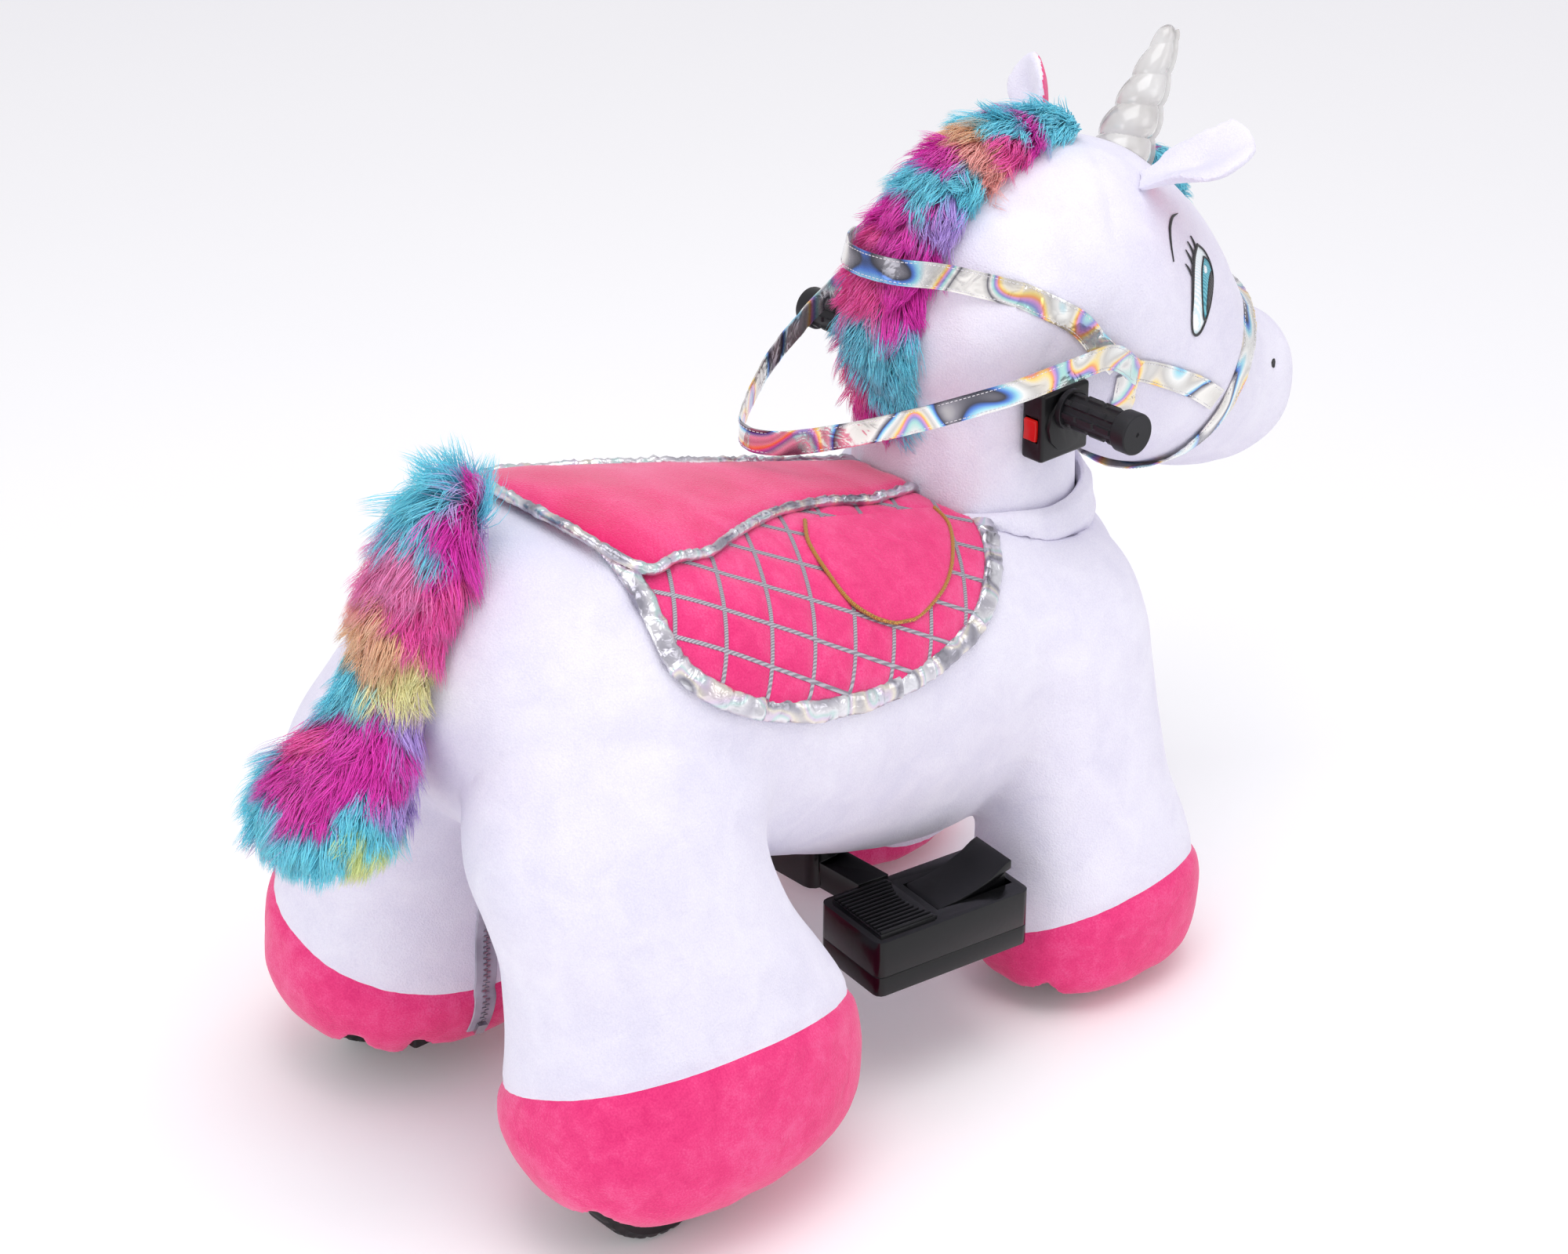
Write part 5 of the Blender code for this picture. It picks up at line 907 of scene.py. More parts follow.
def tape_lines():
    """Each tape as places (y, angle), for both families and both sides."""
    lines = []
    for side in (-1, 1):
        for family in (0, 1):
            for number in range(-12, 22):
                run = []
                for k in range(161):
                    t = -0.20 + 0.60 * k / 160
                    if family == 0:
                        down = t
                        y = number * GRID_STEP + TAPE_LEAN * down
                    else:
                        y = t
                        down = number * GRID_STEP - TAPE_FALL * y
                    angle = side * down / SIDE_RADIUS
                    if down >= 0.03 and pad_reach(y, angle):
                        run.append((y, angle))
                if len(run) > 4:
                    lines.append(run)
    return lines


def tape(run):
    points, outs = zip(*[over_pad(y, angle, 0.0003) for y, angle in run])
    frames = frames_along(list(points), list(outs))
    return swept(frames, 8, flat_oval(TAPE_WIDTH / 2, 0.0006))


piece("saddle_tapes", together(*[tape(run) for run in tape_lines()]), tape_finish, "chassis")

# %% Binding and piping profiles
def gathered(half_width, half_thick, depth, waves, seed):
    """A puckered band: its thickness ripples along its length, and its edge with it."""
    def profile(k, v):
        a, b = oval(v * TURN, half_width, half_thick, 2.4)
        ripple = (noise.noise(Vector((k * waves, seed, 0.3)))
                  + 0.5 * noise.noise(Vector((k * waves * 2.3, seed, 2))))
        raised = 0.0009 * ripple if b > 0 else 0
        return a * (1 + 0.10 * ripple), b * (1 + depth * ripple) + raised
    return profile


def pad_outline():
    """Places all along the pad's edge, one round."""
    right = [pad_flat(u / 60, 0.0) for u in range(61)]
    left = [pad_flat(1 - u / 60, 1.0) for u in range(61)]
    return right + left


BINDING_WIDTH = 0.0170
binding_frames = laid_line(pad_outline(), 0.0032, 0.0040, closed=True)
binding = swept(binding_frames, 14, gathered(BINDING_WIDTH / 2, 0.0036, 0.60, 0.42, 5.0), closed=True)
piece("saddle_binding", binding, silver_lame, "chassis")

# %% [markdown]
# ## Seat and stirrup flaps
# The seat is a crowned velour cushion on the pad, edged with a thin rolled piping that pulls the
# cloth into small puckers along its wavy lower edge. The flap is a single tongue of plush that
# hangs from under the seat, edged with a corded gold thread.

# %% The seat
SEAT_ANGLE = math.radians(35)
SEAT_EDGES = [(0.278, 0.10), (0.290, 0.24), (0.320, 0.33), (0.365, 0.39), (0.400, 0.44), (0.430, 0.42),
              (0.470, 0.42), (0.530, 0.46), (0.590, 0.57), (0.650, 0.72), (0.705, 0.88), (0.755, 0.92),
              (0.793, 1.00), (0.815, 0.86), (0.832, 0.58), (0.841, 0.25)]
SEAT_FLOOR, SEAT_CROWN = 0.0066, 0.0045


def seat_flat(u, w):
    share, wide = smooth_between(SEAT_EDGES, w * (len(SEAT_EDGES) - 1))
    return torso_y(share), wide * SEAT_ANGLE * (2 * u - 1)


def seat_top(u, w):
    edge = min(1, 5.0 * min(u, 1 - u), 7.0 * min(w, 1 - w))
    pucker = 0.0010 * math.sin(w * 190 + 3 * math.sin(w * 31)) * max(0, 1 - edge * 1.6)
    return SEAT_FLOOR + 0.0012 + SEAT_CROWN * math.sin(edge * TURN / 4) ** 0.8 + pucker


piece("saddle_seat_cushion", pillow(72, 96, seat_flat, seat_top, SEAT_FLOOR), pink_velour,
      "chassis", ["saddle_seat"])
seat_outline = ([seat_flat(0.0, w / 90) for w in range(91)]
                + [seat_flat(1.0, 1 - w / 90) for w in range(91)])
piping = swept(laid_line(seat_outline, 0.0026, SEAT_FLOOR + 0.0036, closed=True), 12,
               gathered(0.0040, 0.0040, 0.34, 0.55, 9.0), closed=True)
piece("saddle_piping", piping, silver_lame, "chassis")

# %% The flaps
FLAP_ANGLE = math.radians(60)
FLAP_EDGES = [(0.36, 0.322, 0.530), (0.50, 0.330, 0.556), (0.70, 0.366, 0.565), (0.85, 0.404, 0.560),
              (0.95, 0.446, 0.536), (1.00, 0.478, 0.508)]
for side, word in ((-1, "right"), (1, "left")):
    def flap_flat(u, w, side=side):
        down, front, rear = smooth_between(FLAP_EDGES, u * (len(FLAP_EDGES) - 1))
        return torso_y(front + (rear - front) * w), side * down * FLAP_ANGLE

    def flap_top(u, w):
        edge = min(1, 8 * min(w, 1 - w), 6 * (1 - u))
        return SEAT_FLOOR + 0.0012 + 0.0028 * edge ** 0.5

    piece("stirrup_flap_plush_" + word, pillow(44, 40, flap_flat, flap_top, SEAT_FLOOR), pink_pile,
          "chassis", ["stirrup_flap_" + word])
    rim = ([flap_flat(u / 40, 0.0) for u in range(41)] + [flap_flat(1 - u / 40, 1.0) for u in range(41)])
    corded = swept(laid_line(rim, 0.0012, SEAT_FLOOR + 0.0022), 8,
                   lambda k, v: oval(v * TURN, 0.0015 + 0.00025 * math.sin(k * 2.1),
                                     0.0015 + 0.00025 * math.cos(k * 2.1), 2.0))
    piece("flap_cord_" + word, corded, gold_thread, "chassis")

# %% [markdown]
# ## Bridle and reins
# The straps are 20 mm wide, stitched 2 mm in from both edges. The bridle lies on the head: a band
# round the muzzle, one along each cheek, and one over the back of the mane. The reins are one
# longer strap that runs from cheek to cheek behind the handlebar.

# %% Strap paths
STRAP_WIDTH, STRAP_THICKNESS = 0.020, 0.0016
STITCH_INSET, STITCH_PITCH, STITCH_RADIUS = 0.0022, 0.0034, 0.00032
NOSE_PLACE, NOSE_TILT = 0.320, 0.115
CHEEK = [(0.96, 0.400, 0.330), (0.97, 0.475, 0.400), (0.97, 0.570, 0.465), (0.94, 0.630, 0.500)]
CROWN = [(0.94, 0.668, 0.520), (0.95, 0.723, 0.591), (0.93, 0.778, 0.669), (0.78, 0.870, 0.749)]
CROWN_BACK = [(0.78, 0.870, 0.749), (0.50, 0.972, 0.800), (0.24, 1.040, 0.815), (0.0, 1.056, 0.818)]
THROAT = [(0.93, 0.640, 0.490), (0.86, 0.625, 0.415), (0.72, 0.610, 0.345), (0.50, 0.600, 0.300)]
REIN_REACH = 0.212
REINS = [(-1.02, -0.357, 0.500), (-1.16, -0.143, 0.590), (-1.18, 0.050, 0.600), (-0.98, 0.329, 0.560),
         (-0.52, 0.683, 0.500), (-0.08, 0.919, 0.462), (0.22, 0.990, 0.458), (0.48, 0.876, 0.465),
         (0.86, 0.543, 0.520), (1.16, 0.050, 0.600), (1.16, -0.143, 0.590), (1.02, -0.357, 0.500)]


def head_place(row, side=1):
    across, along, up = row
    return Vector((side * across * HEAD_WIDTH / 2, HEAD_FRONT_Y + along * HEAD_LENGTH,
                   HEAD_BASE_Z + up * HEAD_HEIGHT))


def curve_points(rows, make, steps=12):
    return [make(smooth_between(rows, k / steps)) for k in range((len(rows) - 1) * steps + 1)]


def on_head(points, lift):
    """Those points moved onto the head, and the directions outward there."""
    path, outs = [], []
    for point in points:
        place, normal, _, _ = head_tree.find_nearest(point)
        path.append(place + normal * lift)
        outs.append(normal)
    return path, outs


def stitches(frames):
    """Short thread bars along both edges of a strap."""
    bm = bmesh.new()
    bm.loops.layers.uv.new("UVMap")
    every = max(1, round(STITCH_PITCH / (frames[1][0] - frames[0][0]).length))
    for k in range(2, len(frames) - 2, every):
        centre, across, out = frames[k]
        along = across.cross(out)
        for edge in (-1, 1):
            spot = (centre + across * edge * (STRAP_WIDTH / 2 - STITCH_INSET)
                    + out * (STRAP_THICKNESS / 2))
            turn = Matrix((across, out, along)).transposed().to_4x4()
            bmesh.ops.create_cone(bm, cap_ends=True, segments=5, radius1=STITCH_RADIUS,
                                  radius2=STITCH_RADIUS, depth=STITCH_PITCH * 0.62,
                                  matrix=Matrix.Translation(spot) @ turn)
    return bm


def sewn_strap(name, points, outs, replaced=(), closed=False):
    """A strap with its two rows of stitches."""
    even = spaced(points, 0.0017, closed)
    nearest = nearest_of(points)
    frames = frames_along(even, [outs[nearest(p)] for p in even], closed)

    def profile(k, v):
        a, b = oval(v * TURN, STRAP_WIDTH / 2, STRAP_THICKNESS / 2, 6)
        wave = 0.0007 * noise.noise(frames[k][0] * 42) + 0.0004 * noise.noise(frames[k][0] * 110)
        return a, b + wave
    piece(name, swept(frames, 20, profile, closed), holographic_vinyl, "steering",
          replaced)
    piece(name + "_stitches", stitches(frames), white_thread, "steering")
    print(name, "is", round(sum((b[0] - a[0]).length for a, b in zip(frames, frames[1:])), 3), "m long")


# %% Bridle
NOSE_STEPS = 72


def nose_point(angle):
    """A point of the band round the muzzle, further forward on top than under the chin."""
    return head_point(HEAD_FRONT_Y + (NOSE_PLACE - NOSE_TILT * math.cos(angle)) * HEAD_LENGTH, angle)


nose = [nose_point(TURN * k / NOSE_STEPS) for k in range(NOSE_STEPS)]
nose_path, nose_outs = on_head(nose, 0.0030)
nose_outs = [Vector((n.x, 0.15 * n.y, n.z)).normalized() for n in nose_outs]
sewn_strap("noseband_strap", nose_path, nose_outs, ["noseband"], closed=True)
for side, word in ((-1, "right"), (1, "left")):
    cheek_path, cheek_outs = on_head(curve_points(CHEEK, lambda row: head_place(row, side)), 0.0020)
    sewn_strap("cheek_strap_film_" + word, cheek_path, cheek_outs, ["cheek_strap_" + word])
    throat_path, throat_outs = on_head(curve_points(THROAT, lambda row: head_place(row, side)), 0.0014)
    sewn_strap("throat_strap_" + word, throat_path, throat_outs)

crown_path, crown_outs = on_head(curve_points(CROWN, head_place), 0.0024)
back = curve_points(CROWN_BACK, head_place)[1:]
middle_y = HEAD_FRONT_Y + 0.70 * HEAD_LENGTH
back_outs = [Vector((p.x, p.y - middle_y, 0.25 * (p.y - middle_y))).normalized() for p in back]
crown_path, crown_outs = crown_path + back, crown_outs + back_outs
crown_path += [Vector((-p.x, p.y, p.z)) for p in reversed(crown_path[:-1])]
crown_outs += [Vector((-n.x, n.y, n.z)) for n in reversed(crown_outs[:-1])]
sewn_strap("crown_strap", crown_path, crown_outs, ["neck_strap"])

# %% Reins
def rein_place(row):
    """The point that a row of the reins' table stands for."""
    across, along, up = row
    return Vector((across * HEAD_WIDTH / 2, STEER_Y + along * REIN_REACH, HEAD_BASE_Z + up * HEAD_HEIGHT))


rein_path = curve_points(REINS, rein_place)
rein_outs = []
for i, point in enumerate(rein_path):
    step = rein_path[min(i + 1, len(rein_path) - 1)] - rein_path[max(i - 1, 0)]
    rein_outs.append(Vector((0, 0, 1)).cross(step).normalized())
for end in (0, -1):
    spots, outs = on_head([rein_path[end]], 0.0040)
    rein_path[end], rein_outs[end] = spots[0], outs[0]
sewn_strap("rein_strap", rein_path, rein_outs, ["reins"])

# %% [markdown]
# ## Horn
# The horn is clear vinyl film, blown up like a balloon. Its weld draws a spiral groove, so the film
# bulges in five lobes, and a flat weld flange runs down one side. Thick film scatters a little
# light, so it is milky rather than glass-clear.

# %% Horn
HORN_LENGTH, HORN_RADIUS, HORN_TURNS, HORN_LEAN = 0.104, 0.026, 5, math.radians(30)
horn_axis = Vector((0, -math.sin(HORN_LEAN), math.cos(HORN_LEAN)))
horn_foot = head_point(HEAD_FRONT_Y + 0.435 * HEAD_LENGTH, 0.0) - horn_axis * HORN_RADIUS
horn_x = Vector((1, 0, 0))
horn_y = horn_axis.cross(horn_x)


def horn_radius(t, angle):
    lobe = (HORN_TURNS * t - angle / TURN) % 1.0
    bulge = 0.87 + 0.20 * math.sin(math.pi * lobe) ** 0.65
    close = math.sqrt(max(1 - max(t - 0.93, 0) ** 2 / 0.0050, 0.0))
    return HORN_RADIUS * (1 - 0.76 * t ** 1.2) * bulge * close


def horn_place(t, v):
    angle = v * TURN
    r = horn_radius(t, angle)
    return (horn_foot + horn_axis * (t * (HORN_LENGTH + HORN_RADIUS))
            + horn_x * (r * math.cos(angle)) + horn_y * (r * math.sin(angle)))


horn_film, horn_tree, horn_shader = new_finish(
    "milky_pvc_film", Roughness=0.05, IOR=1.40, Transmission_Weight=0.62, Coat_Weight=1.0,
    Coat_Roughness=0.02)
horn_cloud = size_noise(horn_tree, object_place(horn_tree), 0.03, 1.0, 0.4)
horn_tree.links.new(ramp(horn_tree, horn_cloud, (0.35, "#DAD7D3"), (0.65, "#F0EFED")),
                    horn_shader.inputs["Base Color"])
bumped(horn_tree, horn_shader, (size_noise(horn_tree, object_place(horn_tree), 0.012, 1.0), 0.001, 0.2))
horn = formed(150, 56, horn_place, caps=True)
piece("inflated_horn", horn, horn_film, "steering", ["horn"])
flange_side = (VIEW_RIGHT - VIEW_RIGHT.dot(horn_axis) * horn_axis).normalized()
flange_angle = math.atan2(flange_side.dot(horn_y), flange_side.dot(horn_x))
flange_points = [horn_foot + horn_axis * (t / 120 * (HORN_LENGTH + HORN_RADIUS))
                 + flange_side * (horn_radius(t / 120, flange_angle) + 0.0008) for t in range(12, 119)]
flange_frames = frames_along(flange_points, [flange_side] * len(flange_points))
piece("horn_weld_flange", swept(flange_frames, 10, lambda k, v: oval(v * TURN, 0.0006, 0.0026, 4)),
      horn_film, "steering")

# %% [markdown]
# ## Ears
# Each ear is a flat stuffed paddle of white plush, sewn to the crown with a fold at its root, and
# lined on its inner side with pink.

# %% Ears
HEAD_CENTRE = np.array((0, -0.21, 0.56))
# name: (how much wider near the tip, depth of the hollow, how far the lining wraps round the edge)
EARS = {"right": (0.85, 0.0060, -0.90), "left": (0.35, 0.0020, -0.45)}
for word, (widening, hollow, wrap) in EARS.items():
    ear = remeshed(cad_copy("ear_" + word), 0.0026, 7)
    points = np.array([v.co for v in ear.verts])
    centre = points.mean(axis=0)
    _, _, axes = np.linalg.svd(points - centre, full_matrices=False)
    along, beside, thin = (Vector(axis) for axis in axes)
    if along.dot(Vector(centre - HEAD_CENTRE)) < 0:
        along = -along                    # from the head to the tip
    if thin.dot(look) > 0:
        thin = -thin                      # towards the camera
    centre = Vector(centre)
    reach = max((v.co - centre).dot(along) for v in ear.verts)
    for vert in ear.verts:
        away = vert.co - centre
        share, off, up = away.dot(along) / reach, away.dot(beside), away.dot(thin)
        vert.co += beside * off * widening * math.exp(-((share - 0.62) / 0.48) ** 2)
        if up > 0:
            vert.co -= thin * hollow * math.exp(-(off / 0.011) ** 2 - ((share - 0.15) / 0.50) ** 2)
    rippled(ear, [(0.030, 0.0018), (0.012, 0.0006)])
    ear.normal_update()
    for face in ear.faces:
        face.material_index = 1 if face.normal.dot(thin) < wrap else 0
    piece("plush_ear_" + word, ear, [white_pile, pink_pile], "steering", ["ear_" + word])
    print("ear", word, "reaches", round(reach, 4), "m from its middle")

# %% [markdown]
# ## Face
# The eyes, brows, lashes and nostrils are satin stitch: low raised pads of thread, each colour
# sewn over the one below. Each is drawn in (y, z) as seen from the side and laid on the head.

# %% Embroidery
def head_spot(side, y, z, lift):
    """A point over the head's side, found by a ray from outside."""
    place, normal, _, _ = head_tree.ray_cast(Vector((side * 0.3, y, z)), Vector((-side, 0, 0)))
    return place + normal * lift, normal


def satin_pad(side, outline, lift, height=0.0005):
    """A closed low pad inside a closed outline of (y, z) places."""
    loop = outline[-1:] + outline + outline[:2]
    cy = sum(p[0] for p in outline) / len(outline)
    cz = sum(p[1] for p in outline) / len(outline)

    def place(u, v):
        y, z = smooth_between(loop, 1 + (u % 1.0) * len(outline))
        r = 1 - abs(2 * v - 1)
        up = lift + height * (1 - r ** 4) if v < 0.5 else lift - 0.0012
        if v == 0.5:
            up = lift - 0.0003
        return head_spot(side, cy + (y - cy) * r, cz + (z - cz) * r, up)[0]
    return formed(64, 16, place)


def satin_line(side, line, lift, widths):
    """A raised line of thread through (y, z) places, its half widths given along it."""
    run = [head_spot(side, *smooth_between(line, k / 10), lift) for k in range((len(line) - 1) * 10 + 1)]
    frames = frames_along([p for p, _ in run], [n for _, n in run])

    def profile(k, v):
        width = smooth_between([(w,) for w in widths], k / (len(frames) - 1) * (len(widths) - 1))[0]
        return oval(v * TURN, max(width, 0.0001), 0.0006, 2.2)
    return swept(frames, 10, profile)


EYE = [(-0.3035, 0.5805), (-0.3140, 0.5710), (-0.3185, 0.5560), (-0.3110, 0.5360), (-0.2995, 0.5190),
       (-0.2915, 0.5130), (-0.2850, 0.5180), (-0.2832, 0.5350), (-0.2865, 0.5560), (-0.2935, 0.5735)]
IRIS = [(-0.3085, 0.5700), (-0.3155, 0.5640), (-0.3176, 0.5540), (-0.3115, 0.5390), (-0.3030, 0.5250),
        (-0.2990, 0.5240), (-0.2972, 0.5340), (-0.2975, 0.5480), (-0.3015, 0.5620)]
PUPIL = [(-0.3160, 0.5570), (-0.3165, 0.5490), (-0.3095, 0.5350), (-0.3030, 0.5270), (-0.3020, 0.5340),
         (-0.3050, 0.5450), (-0.3100, 0.5545)]
SHINE = [(-0.3055, 0.5640), (-0.3085, 0.5625), (-0.3080, 0.5580), (-0.3045, 0.5590)]
BROW = [(-0.266, 0.578), (-0.268, 0.590), (-0.273, 0.600), (-0.282, 0.6055), (-0.292, 0.6055)]
LASHES = [[(-0.2905, 0.5700), (-0.2880, 0.5760), (-0.2845, 0.5820)],
          [(-0.2950, 0.5750), (-0.2930, 0.5810), (-0.2900, 0.5865)],
          [(-0.2870, 0.5620), (-0.2840, 0.5680), (-0.2805, 0.5725)],
          [(-0.3000, 0.5790), (-0.2990, 0.5840), (-0.2970, 0.5885)]]
for side, word in ((-1, "right"), (1, "left")):
    piece("eye_white_" + word, satin_pad(side, EYE, 0.0004), pale_thread, "steering")
    piece("iris_" + word, satin_pad(side, IRIS, 0.0009), turquoise_thread, "steering")
    piece("iris_shine_" + word, satin_pad(side, SHINE, 0.0016), pale_thread, "steering")
    rim = EYE + EYE[:1]
    ink = [satin_line(side, rim, 0.0010, [0.0010, 0.0008, 0.0009, 0.0009, 0.0011, 0.0012, 0.0009, 0.0009,
                                          0.0013, 0.0015, 0.0010]),
           satin_line(side, IRIS + IRIS[:1], 0.0014, [0.0006] * 4 + [0.0009] * 2 + [0.0006] * 4),
           satin_pad(side, PUPIL, 0.0014),
           satin_line(side, BROW, 0.0006, [0.0003, 0.0009, 0.0014, 0.0013, 0.0004]),
           satin_line(side, EYE[7:] + EYE[:1], 0.0013, [0.0006, 0.0016, 0.0020, 0.0012])]
    ink += [satin_line(side, lash, 0.0010, [0.0013, 0.0009, 0.0002]) for lash in LASHES]
    ring = [(NOSTRIL.y + 0.0030 * math.cos(a), NOSTRIL.z + 0.0042 * math.sin(a))
            for a in (0, 1.05, 2.1, 3.14, 4.2, 5.25)]
    ink.append(satin_pad(side, ring, 0.0006))
    piece("face_ink_" + word, together(*ink), black_thread, "steering")

# %% [markdown]
# ## Rainbow fur
# Mane, forelock and tail are long-pile acrylic fur, printed in patches of magenta, pink, turquoise,
# lilac, peach and lemon. Blender's hair doesn't survive the export, so each tuft of fibres is a thin
# three-sided blade of a dozen faces. Some nine thousand in each coat, made from one template, lean
# the way the pile lies and gather towards the tip of the clump they stand in. A short core
# underneath closes the gaps.

# %% Fur finish
fur_finish, fur_tree, fur_shader = new_finish("long_acrylic_fur", Roughness=0.55, Sheen_Weight=0.25,
                                              Sheen_Roughness=0.35, Specular_IOR_Level=0.3)
fur_tone = add(fur_tree, "ShaderNodeAttribute", attribute_name="fur_colour").outputs["Color"]
fur_streak = size_noise(fur_tree, object_place(fur_tree), 0.0025, 2.0)
fur_shade = add(fur_tree, "ShaderNodeHueSaturation", {"Color": fur_tone, "Value": add(
    fur_tree, "ShaderNodeMapRange", {"Value": fur_streak}, {"To Min": 0.88, "To Max": 1.12}).outputs[0]})
fur_tree.links.new(fur_shade.outputs[0], fur_shader.inputs["Base Color"])

MAGENTA, HOT_PINK, PINK, SALMON = "#EC3DC0", "#FF5CB4", "#FF8CC8", "#FFAFA8"
PEACH, LEMON, TURQUOISE, LILAC, LIME = "#FFCBA4", "#FBF2B4", "#7BE2F8", "#C7A9F2", "#E6F3A2"

# %% Fur helper
STRANDS = 8800             # keeps each piece under 200,000 triangles
GATHER, DROOP = 0.64, 0.10         # how far a tip moves to its clump's tip, and sinks
FIBRE_WAVE = 0.0011
strand = formed(4, 3, lambda u, v: Vector((math.cos(v * TURN) * (1 - u) ** 0.75,
                                           math.sin(v * TURN) * (1 - u) ** 0.75, u)))
strand.verts.index_update()
STRAND_POINTS = np.array([v.co for v in strand.verts])
STRAND_FACES = [[v.index for v in f.verts] for f in strand.faces]
strand.free()


def picked_colours(points, sites, place_of):
    """The colour of the nearest site for each point, with ragged borders."""
    chosen = []
    for point in points:
        p = Vector(point)
        t, s = place_of(p)
        t += 0.020 * noise.noise(p * 60)
        s += 0.30 * noise.noise(p * 55 + Vector((7, 3, 1)))
        best = min(sites, key=lambda site: ((t - site[0]) / 0.085) ** 2 + ((s - site[1]) / 0.75) ** 2)
        chosen.append(linear(best[2]))
    return np.array(chosen)


def on_surface(bm, count, rng, keep=None):
    """Points spread evenly over a mesh, with the directions outward there."""
    bmesh.ops.triangulate(bm, faces=bm.faces[:])
    faces = [f for f in bm.faces if keep is None or keep(f.calc_center_median())]
    areas = np.cumsum([f.calc_area() for f in faces])
    spots, outs = [], []
    for pick in sorted(rng.random() * areas[-1] for _ in range(count)):
        face = faces[min(int(np.searchsorted(areas, pick)), len(faces) - 1)]
        a, b = rng.random(), rng.random()
        if a + b > 1:
            a, b = 1 - a, 1 - b
        p, q, r = (v.co for v in face.verts)
        spots.append(p + (q - p) * a + (r - p) * b)
        outs.append(face.normal.copy())
    return spots, outs


def unit(rows):
    return rows / np.maximum(np.linalg.norm(rows, axis=1, keepdims=True), 1e-9)


def fur(name, core, sites, place_of, flow_of, length, width, lift, seed, count=STRANDS, keep=None,
        body="chassis", clumps=300):
    """A coat of blades over a core: flow_of(point) gives the way the pile lies."""
    rng = random.Random(seed)
    chaos = np.random.default_rng(seed)
    spots, outs = on_surface(core, count, rng, keep)
    heads = rng.sample(range(count), clumps)
    find = nearest_of([spots[i] for i in heads])
    owner = np.array([heads[find(p)] for p in spots])
    roots, normals = np.array(spots), np.array(outs)
    flows = unit(np.array([flow_of(p) for p in spots]))
    lie = unit(flows * (1 - lift) + normals * lift + chaos.normal(0, 0.10, roots.shape))
    lie_clump = unit(lie[owner] + chaos.normal(0, 0.20, roots.shape)[owner])
    reaches = np.array([length(p) for p in spots]) * chaos.uniform(0.8, 1.25, count)[owner]
    reach = (reaches * chaos.uniform(0.8, 1.15, count))[:, None]
    tips = roots + lie * reach
    clump_tips = roots[owner] + lie_clump * reach[owner] * 1.05
    tips = tips * (1 - GATHER) + clump_tips * GATHER
    tips[:, 2] -= DROOP * reach[:, 0]
    middle = roots + normals * reach * 0.22 + lie * reach * 0.42 + chaos.normal(0, 0.0012, roots.shape)
    across = unit(np.cross(tips - roots, normals + 1e-4))
    raised = unit(np.cross(across, tips - roots))
    t = STRAND_POINTS[:, 2][None, :, None]
    line = ((1 - t) ** 2 * roots[:, None] + 2 * t * (1 - t) * middle[:, None] + t ** 2 * tips[:, None])
    wave = FIBRE_WAVE * np.sin(t * 7 + chaos.uniform(0, TURN, count)[:, None, None])
    wide = (width * chaos.uniform(0.7, 1.25, count))[:, None, None]
    points = (line + across[:, None] * (wide * STRAND_POINTS[:, 0][None, :, None] + wave * t)
              + raised[:, None] * (0.45 * wide * STRAND_POINTS[:, 1][None, :, None]))
    per = len(STRAND_POINTS)
    faces = [[i * per + k for k in face] for i in range(count) for face in STRAND_FACES]
    mesh = bpy.data.meshes.new(name)
    mesh.from_pydata(points.reshape(-1, 3).tolist(), [], faces)
    tone = picked_colours(spots, sites, place_of)
    tone = tone * 0.45 + tone[owner] * 0.55
    tone[:, :3] *= chaos.uniform(0.90, 1.12, (count, 1))
    shade = np.repeat(tone[:, None], per, axis=1)
    # painted shade: each blade is darker at its root, under the rest of the coat, and lighter towards its
    # tip
    shade[:, :, :3] *= (0.90 + 0.20 * STRAND_POINTS[:, 2])[None, :, None]
    colour = mesh.color_attributes.new("fur_colour", "FLOAT_COLOR", "POINT")
    colour.data.foreach_set("color", np.clip(shade, 0, 1).astype(np.float32).ravel())
    mesh.materials.append(fur_finish)
    mesh.shade_smooth()
    coat = bpy.data.objects.new(name, mesh)
    bpy.context.scene.collection.objects.link(coat)
    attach(coat, body)
    print(name, len(mesh.polygons), "faces")


def fur_core(name, bm, sites, place_of, body, replaced):
    """The dense short pile under the blades, in the same patches, darkened as painted shade under them."""
    points = [v.co.copy() for v in bm.verts]
    core = piece(name, bm, fur_finish, body, replaced)
    colour = core.data.color_attributes.new("fur_colour", "FLOAT_COLOR", "POINT")
    tone = picked_colours(points, sites, place_of)
    # painted shade: the core is darker, as the shade under the blades
    tone[:, :3] *= 0.85
    colour.data.foreach_set("color", tone.astype(np.float32).ravel())


def shrunk(bm, distance):
    """The same form with its skin moved inwards."""
    bm.normal_update()
    for vert in bm.verts:
        vert.co -= vert.normal * distance
    bm.normal_update()
    return bm


# %% Tail
TAIL_BASE = Vector((0, torso_y(0.905), TORSO_BASE_Z + TORSO_HEIGHT))
TAIL_LENGTH, TAIL_RADIUS = 0.360, 0.054
TAIL_LINE = [(0.00, 0.00, 0.30), (0.035, -0.06, 0.56), (0.085, -0.01, 0.62), (0.140, 0.08, 0.62),
             (0.180, 0.17, 0.60), (0.220, 0.27, 0.60), (0.275, 0.37, 0.76), (0.345, 0.445, 0.98),
             (0.376, 0.51, 0.98), (0.385, 0.57, 0.74), (0.380, 0.62, 0.32)]
tail_line = [TAIL_BASE + Vector((0, a, -b)) * TAIL_LENGTH for a, b, _ in
             [smooth_between(TAIL_LINE, k / 10) for k in range(101)]]
tail_near = nearest_of(tail_line)


def place_on_line(line, near, radius):
    """A function that turns a point into (share along the line, share across the camera's view)."""
    def place_of(point):
        k = near(point)
        return k / (len(line) - 1), (point - line[k]).dot(VIEW_RIGHT) / radius
    return place_of


